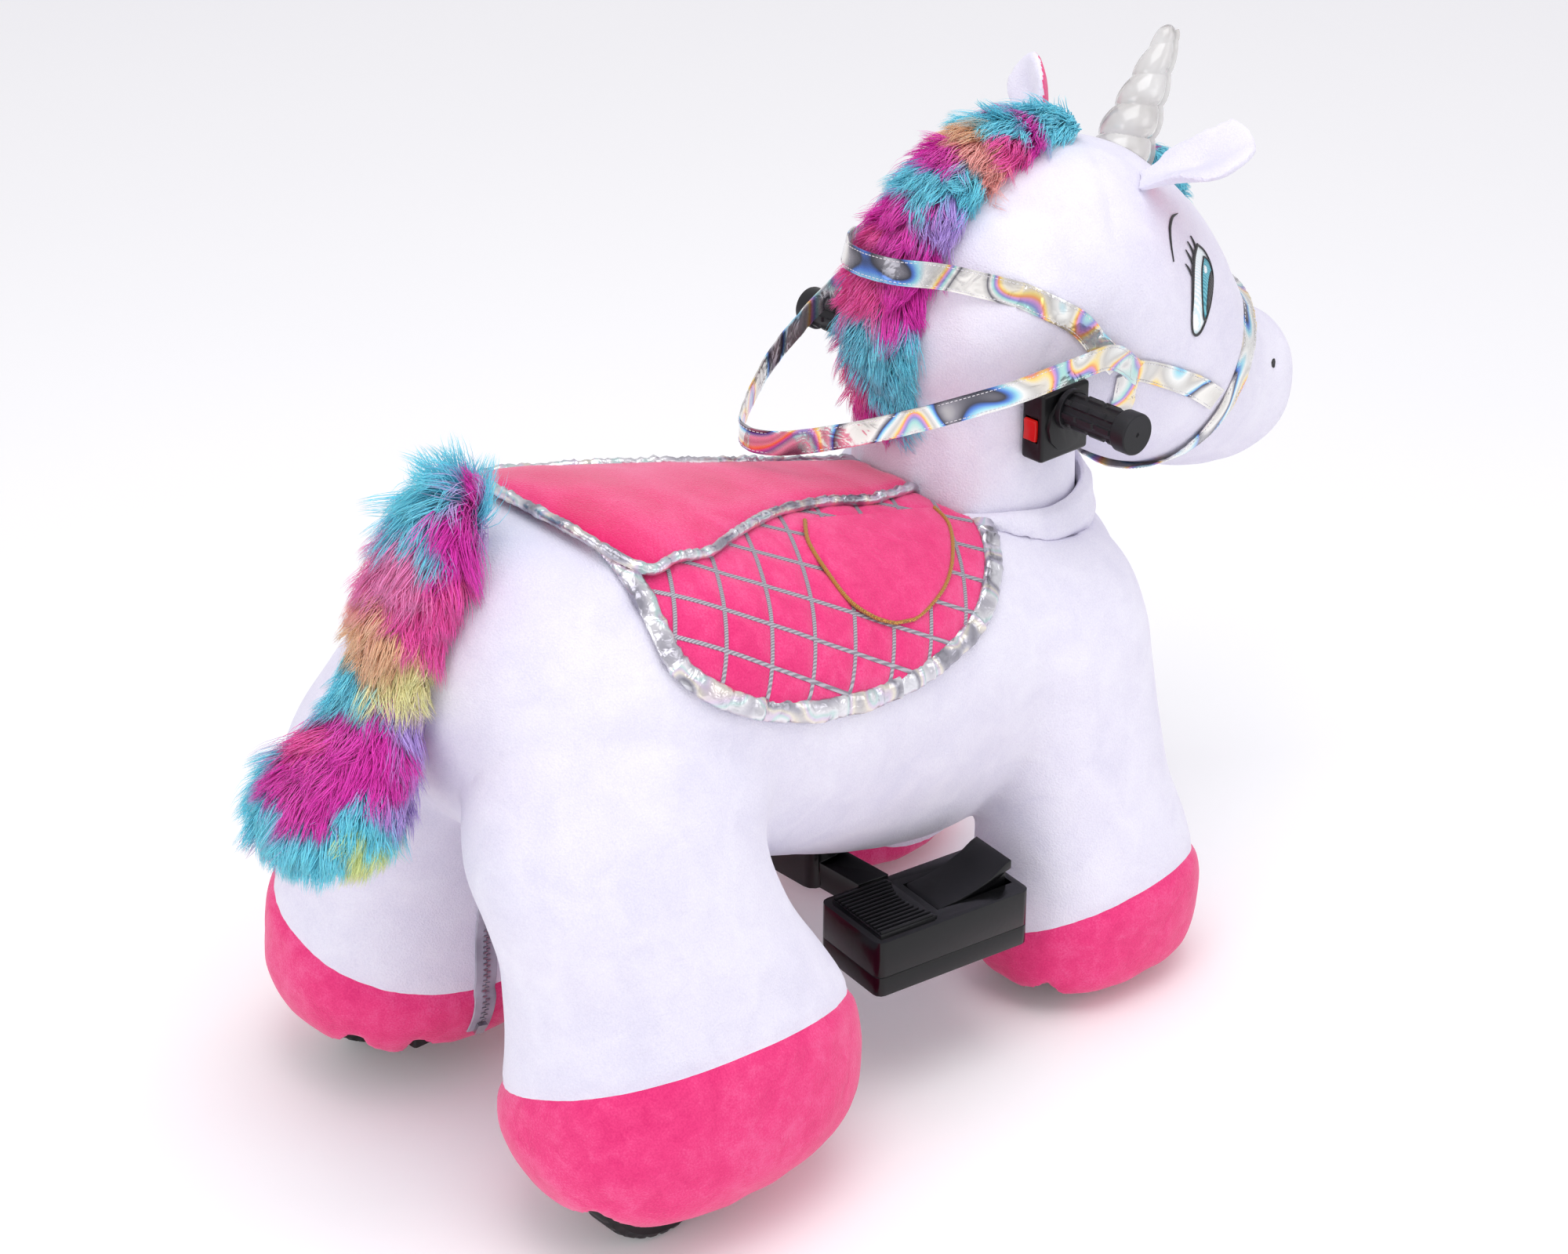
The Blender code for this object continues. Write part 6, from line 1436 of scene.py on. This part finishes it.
def flow_on_line(line, near, lift_first=0.0):
    """A function that gives the way the pile lies: along the line, and upwards at its start."""
    def flow_of(point):
        k = near(point)
        along = (line[min(k + 3, len(line) - 1)] - line[max(k - 3, 0)]).normalized()
        early = max(0.0, 1 - k / (0.10 * len(line)))
        return along * (1 - early * lift_first) + Vector((0, 0.3, 0.9)) * early * lift_first
    return flow_of


TAIL_SITES = [
    (0.01, -0.7, MAGENTA), (0.00, 0.15, TURQUOISE), (0.02, 0.9, MAGENTA), (0.09, -0.8, HOT_PINK),
    (0.09, -0.1, TURQUOISE), (0.09, 0.6, MAGENTA), (0.16, -0.8, PINK), (0.17, -0.3, TURQUOISE),
    (0.16, 0.4, MAGENTA), (0.17, 1.0, MAGENTA), (0.24, -0.8, SALMON), (0.24, -0.2, PINK),
    (0.24, 0.6, HOT_PINK),
    (0.32, -0.7, SALMON), (0.32, 0.3, HOT_PINK), (0.32, 1.0, HOT_PINK), (0.38, -0.9, LILAC),
    (0.38, -0.1, PEACH), (0.38, 0.8, SALMON), (0.44, -0.7, TURQUOISE), (0.43, 0.3, LEMON),
    (0.49, -0.5, TURQUOISE), (0.49, 0.6, LILAC), (0.55, -0.9, PINK), (0.55, -0.1, MAGENTA),
    (0.55, 0.8, LILAC), (0.62, -0.7, HOT_PINK), (0.63, 0.1, MAGENTA), (0.63, 1.0, LILAC),
    (0.69, -0.9, TURQUOISE), (0.70, -0.2, MAGENTA), (0.70, 0.5, TURQUOISE), (0.76, -0.6, TURQUOISE),
    (0.76, 0.1, TURQUOISE), (0.76, 0.6, LIME), (0.77, 1.1, TURQUOISE), (0.83, -0.9, HOT_PINK),
    (0.84, -0.1, TURQUOISE), (0.83, 0.7, MAGENTA), (0.90, -0.8, HOT_PINK), (0.91, -0.2, TURQUOISE),
    (0.91, 0.5, MAGENTA), (0.96, -0.9, LILAC), (0.96, -0.4, PINK), (0.97, 0.4, HOT_PINK),
    (1.00, -0.6, PEACH), (1.00, 0.3, HOT_PINK)]
tail_place = place_on_line(tail_line, tail_near, TAIL_RADIUS * 0.85)
tail_core = shrunk(remeshed(cad_copy("tail"), 0.006, 5), 0.012)
for vert in tail_core.verts:          # the blades need room below the end of the core
    share = max(0.0, (tail_near(vert.co) / 100 - 0.70) / 0.30)
    vert.co += Vector((0, -0.004, 0.036)) * share ** 1.3
tail_core.normal_update()


def tail_reach(point):
    t = tail_near(point) / 100
    return 0.038 - 0.010 * t


for number, seed in enumerate((11, 12, 13)):
    fur("tail_fur_%d" % (number + 1), tail_core.copy(), TAIL_SITES, tail_place,
        flow_on_line(tail_line, tail_near, 0.8), tail_reach, 0.00078, 0.40, seed,
        keep=lambda p: p.y > 0.335)
fur_core("tail_core", tail_core, TAIL_SITES, tail_place, "chassis", ["tail"])

# %% Mane and forelock
CREST = [(0.560, 0.985), (0.640, 1.005), (0.720, 1.000), (0.800, 0.975), (0.870, 0.930),
         (0.935, 0.850), (0.985, 0.740), (1.005, 0.620), (0.990, 0.500), (0.950, 0.400), (0.900, 0.330)]
crest_line = [Vector((0, HEAD_FRONT_Y + a * HEAD_LENGTH, HEAD_BASE_Z + b * HEAD_HEIGHT))
              for a, b in [smooth_between(CREST, k / 10) for k in range(101)]]
crest_near = nearest_of(crest_line)
MANE_SITES = [
    (0.00, -0.3, TURQUOISE), (0.02, 0.6, TURQUOISE), (0.06, -0.8, MAGENTA), (0.10, 0.2, TURQUOISE),
    (0.14, -0.7, HOT_PINK), (0.17, 0.6, MAGENTA), (0.20, -0.2, TURQUOISE), (0.24, 0.6, HOT_PINK),
    (0.27, -0.6, PEACH), (0.31, 0.5, SALMON), (0.34, -0.5, MAGENTA), (0.38, 0.5, TURQUOISE),
    (0.41, -0.5, TURQUOISE), (0.46, 0.6, LILAC), (0.48, -0.4, MAGENTA), (0.53, 0.6, MAGENTA),
    (0.55, -0.5, HOT_PINK), (0.61, 0.5, MAGENTA), (0.61, -0.5, HOT_PINK), (0.67, -0.2, TURQUOISE),
    (0.68, 0.6, TURQUOISE), (0.74, -0.6, HOT_PINK), (0.75, 0.3, TURQUOISE), (0.81, -0.5, MAGENTA),
    (0.82, 0.4, TURQUOISE), (0.88, -0.4, HOT_PINK), (0.90, 0.5, TURQUOISE), (0.96, -0.3, HOT_PINK),
    (1.00, 0.4, MAGENTA)]
mane_place = place_on_line(crest_line, crest_near, 0.038)
mane_core = shrunk(remeshed(cad_copy("mane"), 0.004, 4), 0.007)
crest_flow = flow_on_line(crest_line, crest_near)


def mane_flow(point):
    """Down along the crest, and a little to the side the point is on."""
    aside = math.copysign(0.30, point.x) * min(1, abs(point.x) / 0.02)
    return crest_flow(point) + Vector((aside, 0.10, -0.12))


def off_head(point):
    """True where a root isn't inside the head."""
    place, normal, _, _ = head_tree.find_nearest(point)
    return (point - place).dot(normal) > -0.003


for number, seed in enumerate((21, 22)):
    fur("mane_fur_%d" % (number + 1), mane_core.copy(), MANE_SITES, mane_place, mane_flow,
        lambda p: 0.028, 0.0007, 0.36, seed, keep=off_head, body="steering", clumps=380)
fur_core("mane_core", mane_core, MANE_SITES, mane_place, "steering", ["mane"])
lock_low, lock_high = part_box("forelock")
lock_sites = [(0.0, -0.6, MAGENTA), (0.2, 0.2, TURQUOISE), (0.8, 0.0, TURQUOISE)]
LOCK_HALF = 0.024


def lock_place(point):
    """Where a point of the forelock is: down its length, and across."""
    return (lock_high.z - point.z) / (lock_high.z - lock_low.z), point.x / LOCK_HALF


lock_core = shrunk(remeshed(cad_copy("forelock"), 0.003, 4), 0.006)
fur("forelock_fur", lock_core.copy(), lock_sites, lock_place,
    lambda p: Vector((-0.25, -0.55, -0.8)), lambda p: 0.013, 0.0005, 0.35, 31,
    count=3000, keep=off_head, body="steering", clumps=120)
fur_core("forelock_core", lock_core, lock_sites, lock_place, "steering", ["forelock"])

# %% [markdown]
# ## Plastic, rubber and steel
# The hard parts keep the model's shapes. A copy of each visible one gets small rounded edges, as
# every moulding has, and the hidden frame keeps its own mesh with a painted or bare metal finish.
# ABS from a polished mould is deep black with narrow reflections, and from an etched mould it is
# duller. Grip rubber and PVC tyres are duller still and a little grey. Powder coat has a fine orange
# peel, and zinc plate is a bright grey metal.

# %% Hard finishes
def moulded(name, dark, pale, rough, grain, metallic=0.0):
    """A hard finish in two close tones, with a fine grain of that size and worn patches."""
    made, tree, shader = new_finish(name, Roughness=rough, Metallic=metallic,
                                    Specular_IOR_Level=0.35)
    place = object_place(tree)
    wear = size_noise(tree, place, 0.04, 3.0)
    tree.links.new(ramp(tree, wear, (0.35, dark), (0.65, pale)), shader.inputs["Base Color"])
    speckle = size_noise(tree, place, grain, 2.0)
    rougher = add(tree, "ShaderNodeMapRange", {"Value": wear},
                  {"To Min": rough * 0.8, "To Max": rough * 1.25})
    tree.links.new(rougher.outputs[0], shader.inputs["Roughness"])
    bumped(tree, shader, (speckle, 0.0002, 0.35))
    return made


gloss_abs = moulded("gloss_black_abs", "#040405", "#08080A", 0.20, 0.004)
grained_abs = moulded("grained_black_abs", "#08080A", "#101013", 0.40, 0.0009)
grip_rubber = moulded("black_tpr_rubber", "#0E0E11", "#1D1D22", 0.46, 0.0012)
tyre_rubber = moulded("black_pvc_tyre", "#0C0C0E", "#17171A", 0.50, 0.0015)
red_abs = moulded("red_abs", "#C8140F", "#E02218", 0.30, 0.003)
painted_steel = moulded("black_powder_coated_steel", "#101013", "#1A1A1E", 0.40, 0.0012)
bright_steel = moulded("zinc_plated_steel", "#9A9CA3", "#C4C6CB", 0.32, 0.002, metallic=1.0)
grey_cell = moulded("grey_abs_battery_case", "#3B3E45", "#4C5058", 0.45, 0.0012)
grey_tape = moulded("grey_polyester_tape", "#8E8B99", "#B9B6C4", 0.80, 0.0008)

HIDDEN_FINISHES = {
    "frame_spine": painted_steel, "head_tube": painted_steel, "front_axle_beam": painted_steel,
    "rear_cross_tube": painted_steel, "steering_column": painted_steel, "handlebar": painted_steel,
    "tie_rod": bright_steel, "gearbox": grained_abs, "drive_motor": bright_steel, "battery": grey_cell,
    "battery_tray": grained_abs, "control_box": grained_abs}
for word in SIDES:
    HIDDEN_FINISHES.update({"rear_post_" + word: painted_steel, "rear_axle_" + word: bright_steel,
                            "steering_knuckle_" + word: painted_steel})
for name, finish in HIDDEN_FINISHES.items():
    NODES[name].data.materials.clear()
    NODES[name].data.materials.append(finish)
print("hidden frame finished:", len(HIDDEN_FINISHES), "nodes")


# %% Rounded copies of the visible mouldings
def rounded_copy(node, finish, body, edge=0.0008):
    """A copy of the node with its flat faces rejoined and its edges rounded."""
    bm = cad_copy(node)
    bmesh.ops.dissolve_limit(bm, angle_limit=math.radians(2), verts=bm.verts[:], edges=bm.edges[:])
    crisp = [e for e in bm.edges if len(e.link_faces) == 2 and e.calc_face_angle(0) > math.radians(35)]
    bmesh.ops.bevel(bm, geom=crisp, offset=edge, affect="EDGES", segments=2, profile=0.5, material=-1,
                    clamp_overlap=True)
    piece(node + "_moulded", bm, finish, body, [node])


for word in SIDES:
    rounded_copy("switch_housing_" + word, grained_abs, "steering")
rounded_copy("rocker_switch", red_abs, "switch", 0.0006)
rounded_copy("pedal_box_lower", gloss_abs, "chassis")
rounded_copy("pedal_box_upper", gloss_abs, "chassis")
rounded_copy("accelerator_pedal", gloss_abs, "pedal")
rounded_copy("foot_rest_left", gloss_abs, "chassis")
rounded_copy("foot_rest_bar", gloss_abs, "chassis")

# %% [markdown]
# A rubber grip has a flange by the switch, long raised ribs cut by short slots, and a thick round
# end cap with a dimple where its mould was filled. It is a tube whose radius depends on both the
# place along it and the angle round it.

# %% Grips
GRIP_INNER, GRIP_Y, GRIP_Z = 0.111, -0.145, 0.4925
GRIP_RIBS, RIB_FLOOR, RIB_HEIGHT = 8, 0.0124, 0.0021
GRIP_PROFILE = [(0.0, 0.0), (0.0, 0.0158), (0.0004, 0.0163), (0.0046, 0.0163), (0.0050, 0.0158),
                (0.0052, 0.0125)]
GRIP_CAP = [(0.0555, 0.0122), (0.0560, 0.0158), (0.0572, 0.0165), (0.0680, 0.0165), (0.0694, 0.0160),
            (0.0700, 0.0150), (0.0700, 0.0018), (0.0690, 0.0012), (0.0690, 0.0)]
grip_steps = (GRIP_PROFILE + [(0.0052 + 0.0503 * k / 40, None) for k in range(41)] + GRIP_CAP)
for side, word in ((-1, "right"), (1, "left")):
    def grip_place(u, v, side=side):
        along, radius = grip_steps[round(u * (len(grip_steps) - 1))]
        if radius is None:
            wave = math.cos(GRIP_RIBS * v * TURN)
            rib = 1 / (1 + math.exp(-14 * (wave - 0.1)))
            slot_here = (along * 1000 + 9 * (math.floor(GRIP_RIBS * v + 0.5) % 2)) % 18 < 3.2
            radius = RIB_FLOOR + RIB_HEIGHT * rib * (0.25 if slot_here else 1.0)
        return Vector((side * (GRIP_INNER + along), GRIP_Y + radius * math.cos(v * TURN),
                       GRIP_Z + radius * math.sin(v * TURN)))
    piece("rubber_grip_" + word, formed(len(grip_steps) - 1, 128, grip_place), grip_rubber, "steering",
          ["grip_" + word], sharp=30)

# %% [markdown]
# Fine ribs run along each foot rest, so that a shoe doesn't slip, and a wedge carries the pedal's
# plate. Each rib is a thin strip laid on the top of the box by rays from above.

# %% Tread on the foot rests
RIBS, TREAD_HALF, TREAD_REAR, RIB_STEPS = 14, 0.030, 0.064, 12
REST_X, REST_Y, REST_TOP, REST_TURN = 0.146, 0.033, 0.1486, math.radians(8)


def on_rest(side, x, y, z):
    """A place on a foot rest, from its own middle, its toe turned out."""
    turned = Matrix.Rotation(side * REST_TURN, 3, "Z") @ Vector((x, y, 0))
    return Vector((side * REST_X + turned.x, REST_Y + turned.y, z))


rest_trees = {-1: tree_of(cad_copy("pedal_box_upper")), 1: tree_of(cad_copy("foot_rest_left"))}


def rest_top(side, point):
    """The height of the foot rest's top there."""
    hit = rest_trees[side].ray_cast(Vector((point.x, point.y, 0.25)), Vector((0, 0, -1)))[0]
    return Vector((point.x, point.y, (hit.z if hit else REST_TOP) + 0.0003))


for side, word in ((-1, "right"), (1, "left")):
    ribs = []
    for k in range(RIBS):
        x = -TREAD_HALF + 2 * TREAD_HALF * k / (RIBS - 1)
        front = (0.012 if side < 0 else -0.058) + 0.010 * (1 - (x / TREAD_HALF) ** 2)
        line = [rest_top(side, on_rest(side, x, front + (TREAD_REAR - front) * j / RIB_STEPS, REST_TOP))
                for j in range(RIB_STEPS + 1)]
        frames = frames_along(line, [Vector((0, 0, 1))] * len(line))
        ribs.append(swept(frames, 8, flat_oval(0.0013, 0.0012, 3)))
    piece("foot_rest_tread_" + word, together(*ribs), grained_abs, "chassis")
wedge = bmesh.new()
bmesh.ops.create_cube(wedge, size=1)
for vert in wedge.verts:
    x, rear, up = vert.co.x, vert.co.y > 0, vert.co.z > 0
    height = (0.1450 if up else 0.1400) if rear else (0.1610 if up else 0.1480)
    vert.co = on_rest(-1, x * 0.041, -0.008 if rear else -0.062, height)
bmesh.ops.bevel(wedge, geom=wedge.edges[:], offset=0.0015, affect="EDGES", segments=2, profile=0.5,
                material=-1)
bmesh.ops.recalc_face_normals(wedge, faces=wedge.faces[:])
piece("pedal_wedge", wedge, gloss_abs, "pedal")

# %% [markdown]
# Each wheel is a blow-moulded black plastic rim with a ribbed soft tread. Its section is turned
# about the axle, and the tread's grooves are pressed into the outermost points.

# %% Wheels
def wheel(name, low, high, body):
    """A wheel that fills the box of its node."""
    middle = (low + high) / 2
    radius, half = (high.z - low.z) / 2, (high.x - low.x) / 2
    out = 1 if middle.x > 0 else -1
    section = [(-half, 0.30), (-half, 0.34), (-half * 0.72, 0.38), (-half * 0.72, 0.70), (-half, 0.74),
               (-half, 0.90), (-half * 0.80, 0.975), (-half * 0.55, 1.0), (half * 0.55, 1.0),
               (half * 0.80, 0.975), (half, 0.90), (half, 0.74), (half * 0.72, 0.70), (half * 0.72, 0.38),
               (half, 0.34), (half, 0.30), (half * 0.98, 0.0)]
    section = [(-half * 0.98, 0.0)] + section

    def place(u, v):
        dx, share = section[round(u * (len(section) - 1))]
        if share >= 0.97:
            share *= 1 - 0.022 * (math.cos(36 * v * TURN) > 0.55)
        return Vector((middle.x + out * dx, middle.y + radius * share * math.cos(v * TURN),
                       middle.z + radius * share * math.sin(v * TURN)))
    bm = formed(len(section) - 1, 144, place)
    for face in bm.faces:
        spot = face.calc_center_median()
        away = math.hypot(spot.y - middle.y, spot.z - middle.z) / radius
        face.material_index = 0 if away > 0.73 else 1
    piece(name + "_tyre", bm, [tyre_rubber, gloss_abs], body, [name], sharp=30)


for end in ("front", "rear"):
    for word in SIDES:
        node = "wheel_%s_%s" % (end, word)
        wheel(node, *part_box(node), "%s_wheel_%s" % (end, word))

# %% [markdown]
# A short zip closes the inner side of the left rear leg: a grey tape, two rows of metal teeth and
# a slider at the lower end. Its line is found on the finished skin by rays from the middle.

# %% Zip
ZIP_Y, ZIP_Z, ZIP_RUN, ZIP_FALL, ZIP_STEPS = 0.303, 0.192, 0.016, 0.136, 59
TOOTH, SLIDER = (0.0034, 0.0016, 0.0014), (0.0080, 0.0040, 0.0100)      # across, outward, along
zip_spots, zip_outs = [], []
for k in range(ZIP_STEPS + 1):
    y, z = ZIP_Y + ZIP_RUN * k / ZIP_STEPS, ZIP_Z - ZIP_FALL * k / ZIP_STEPS
    place, normal, _, _ = skin_tree.ray_cast(Vector((0, y, z)), Vector((1, 0, 0)))
    zip_spots.append(place + normal * 0.0006)
    zip_outs.append(normal)
zip_frames = frames_along(zip_spots, zip_outs)
piece("zip_tape", swept(zip_frames, 10, flat_oval(0.0095, 0.0009)), grey_tape, "chassis")
teeth = bmesh.new()


def block(frame_here, aside, lift, size):
    """A small box beside and above a frame of the zip."""
    centre, across, out = frame_here
    turn = Matrix((across, out, across.cross(out))).transposed().to_4x4()
    bmesh.ops.create_cube(teeth, size=1, matrix=Matrix.Translation(centre + out * lift + across * aside)
                          @ turn @ Matrix.Diagonal((*size, 1)))


for k, zip_frame in enumerate(zip_frames):
    block(zip_frame, 0.0012 if k % 2 else -0.0012, 0.0014, TOOTH)
block(zip_frames[-3], 0, 0.0022, SLIDER)
piece("zip_teeth_and_slider", teeth, bright_steel, "chassis")
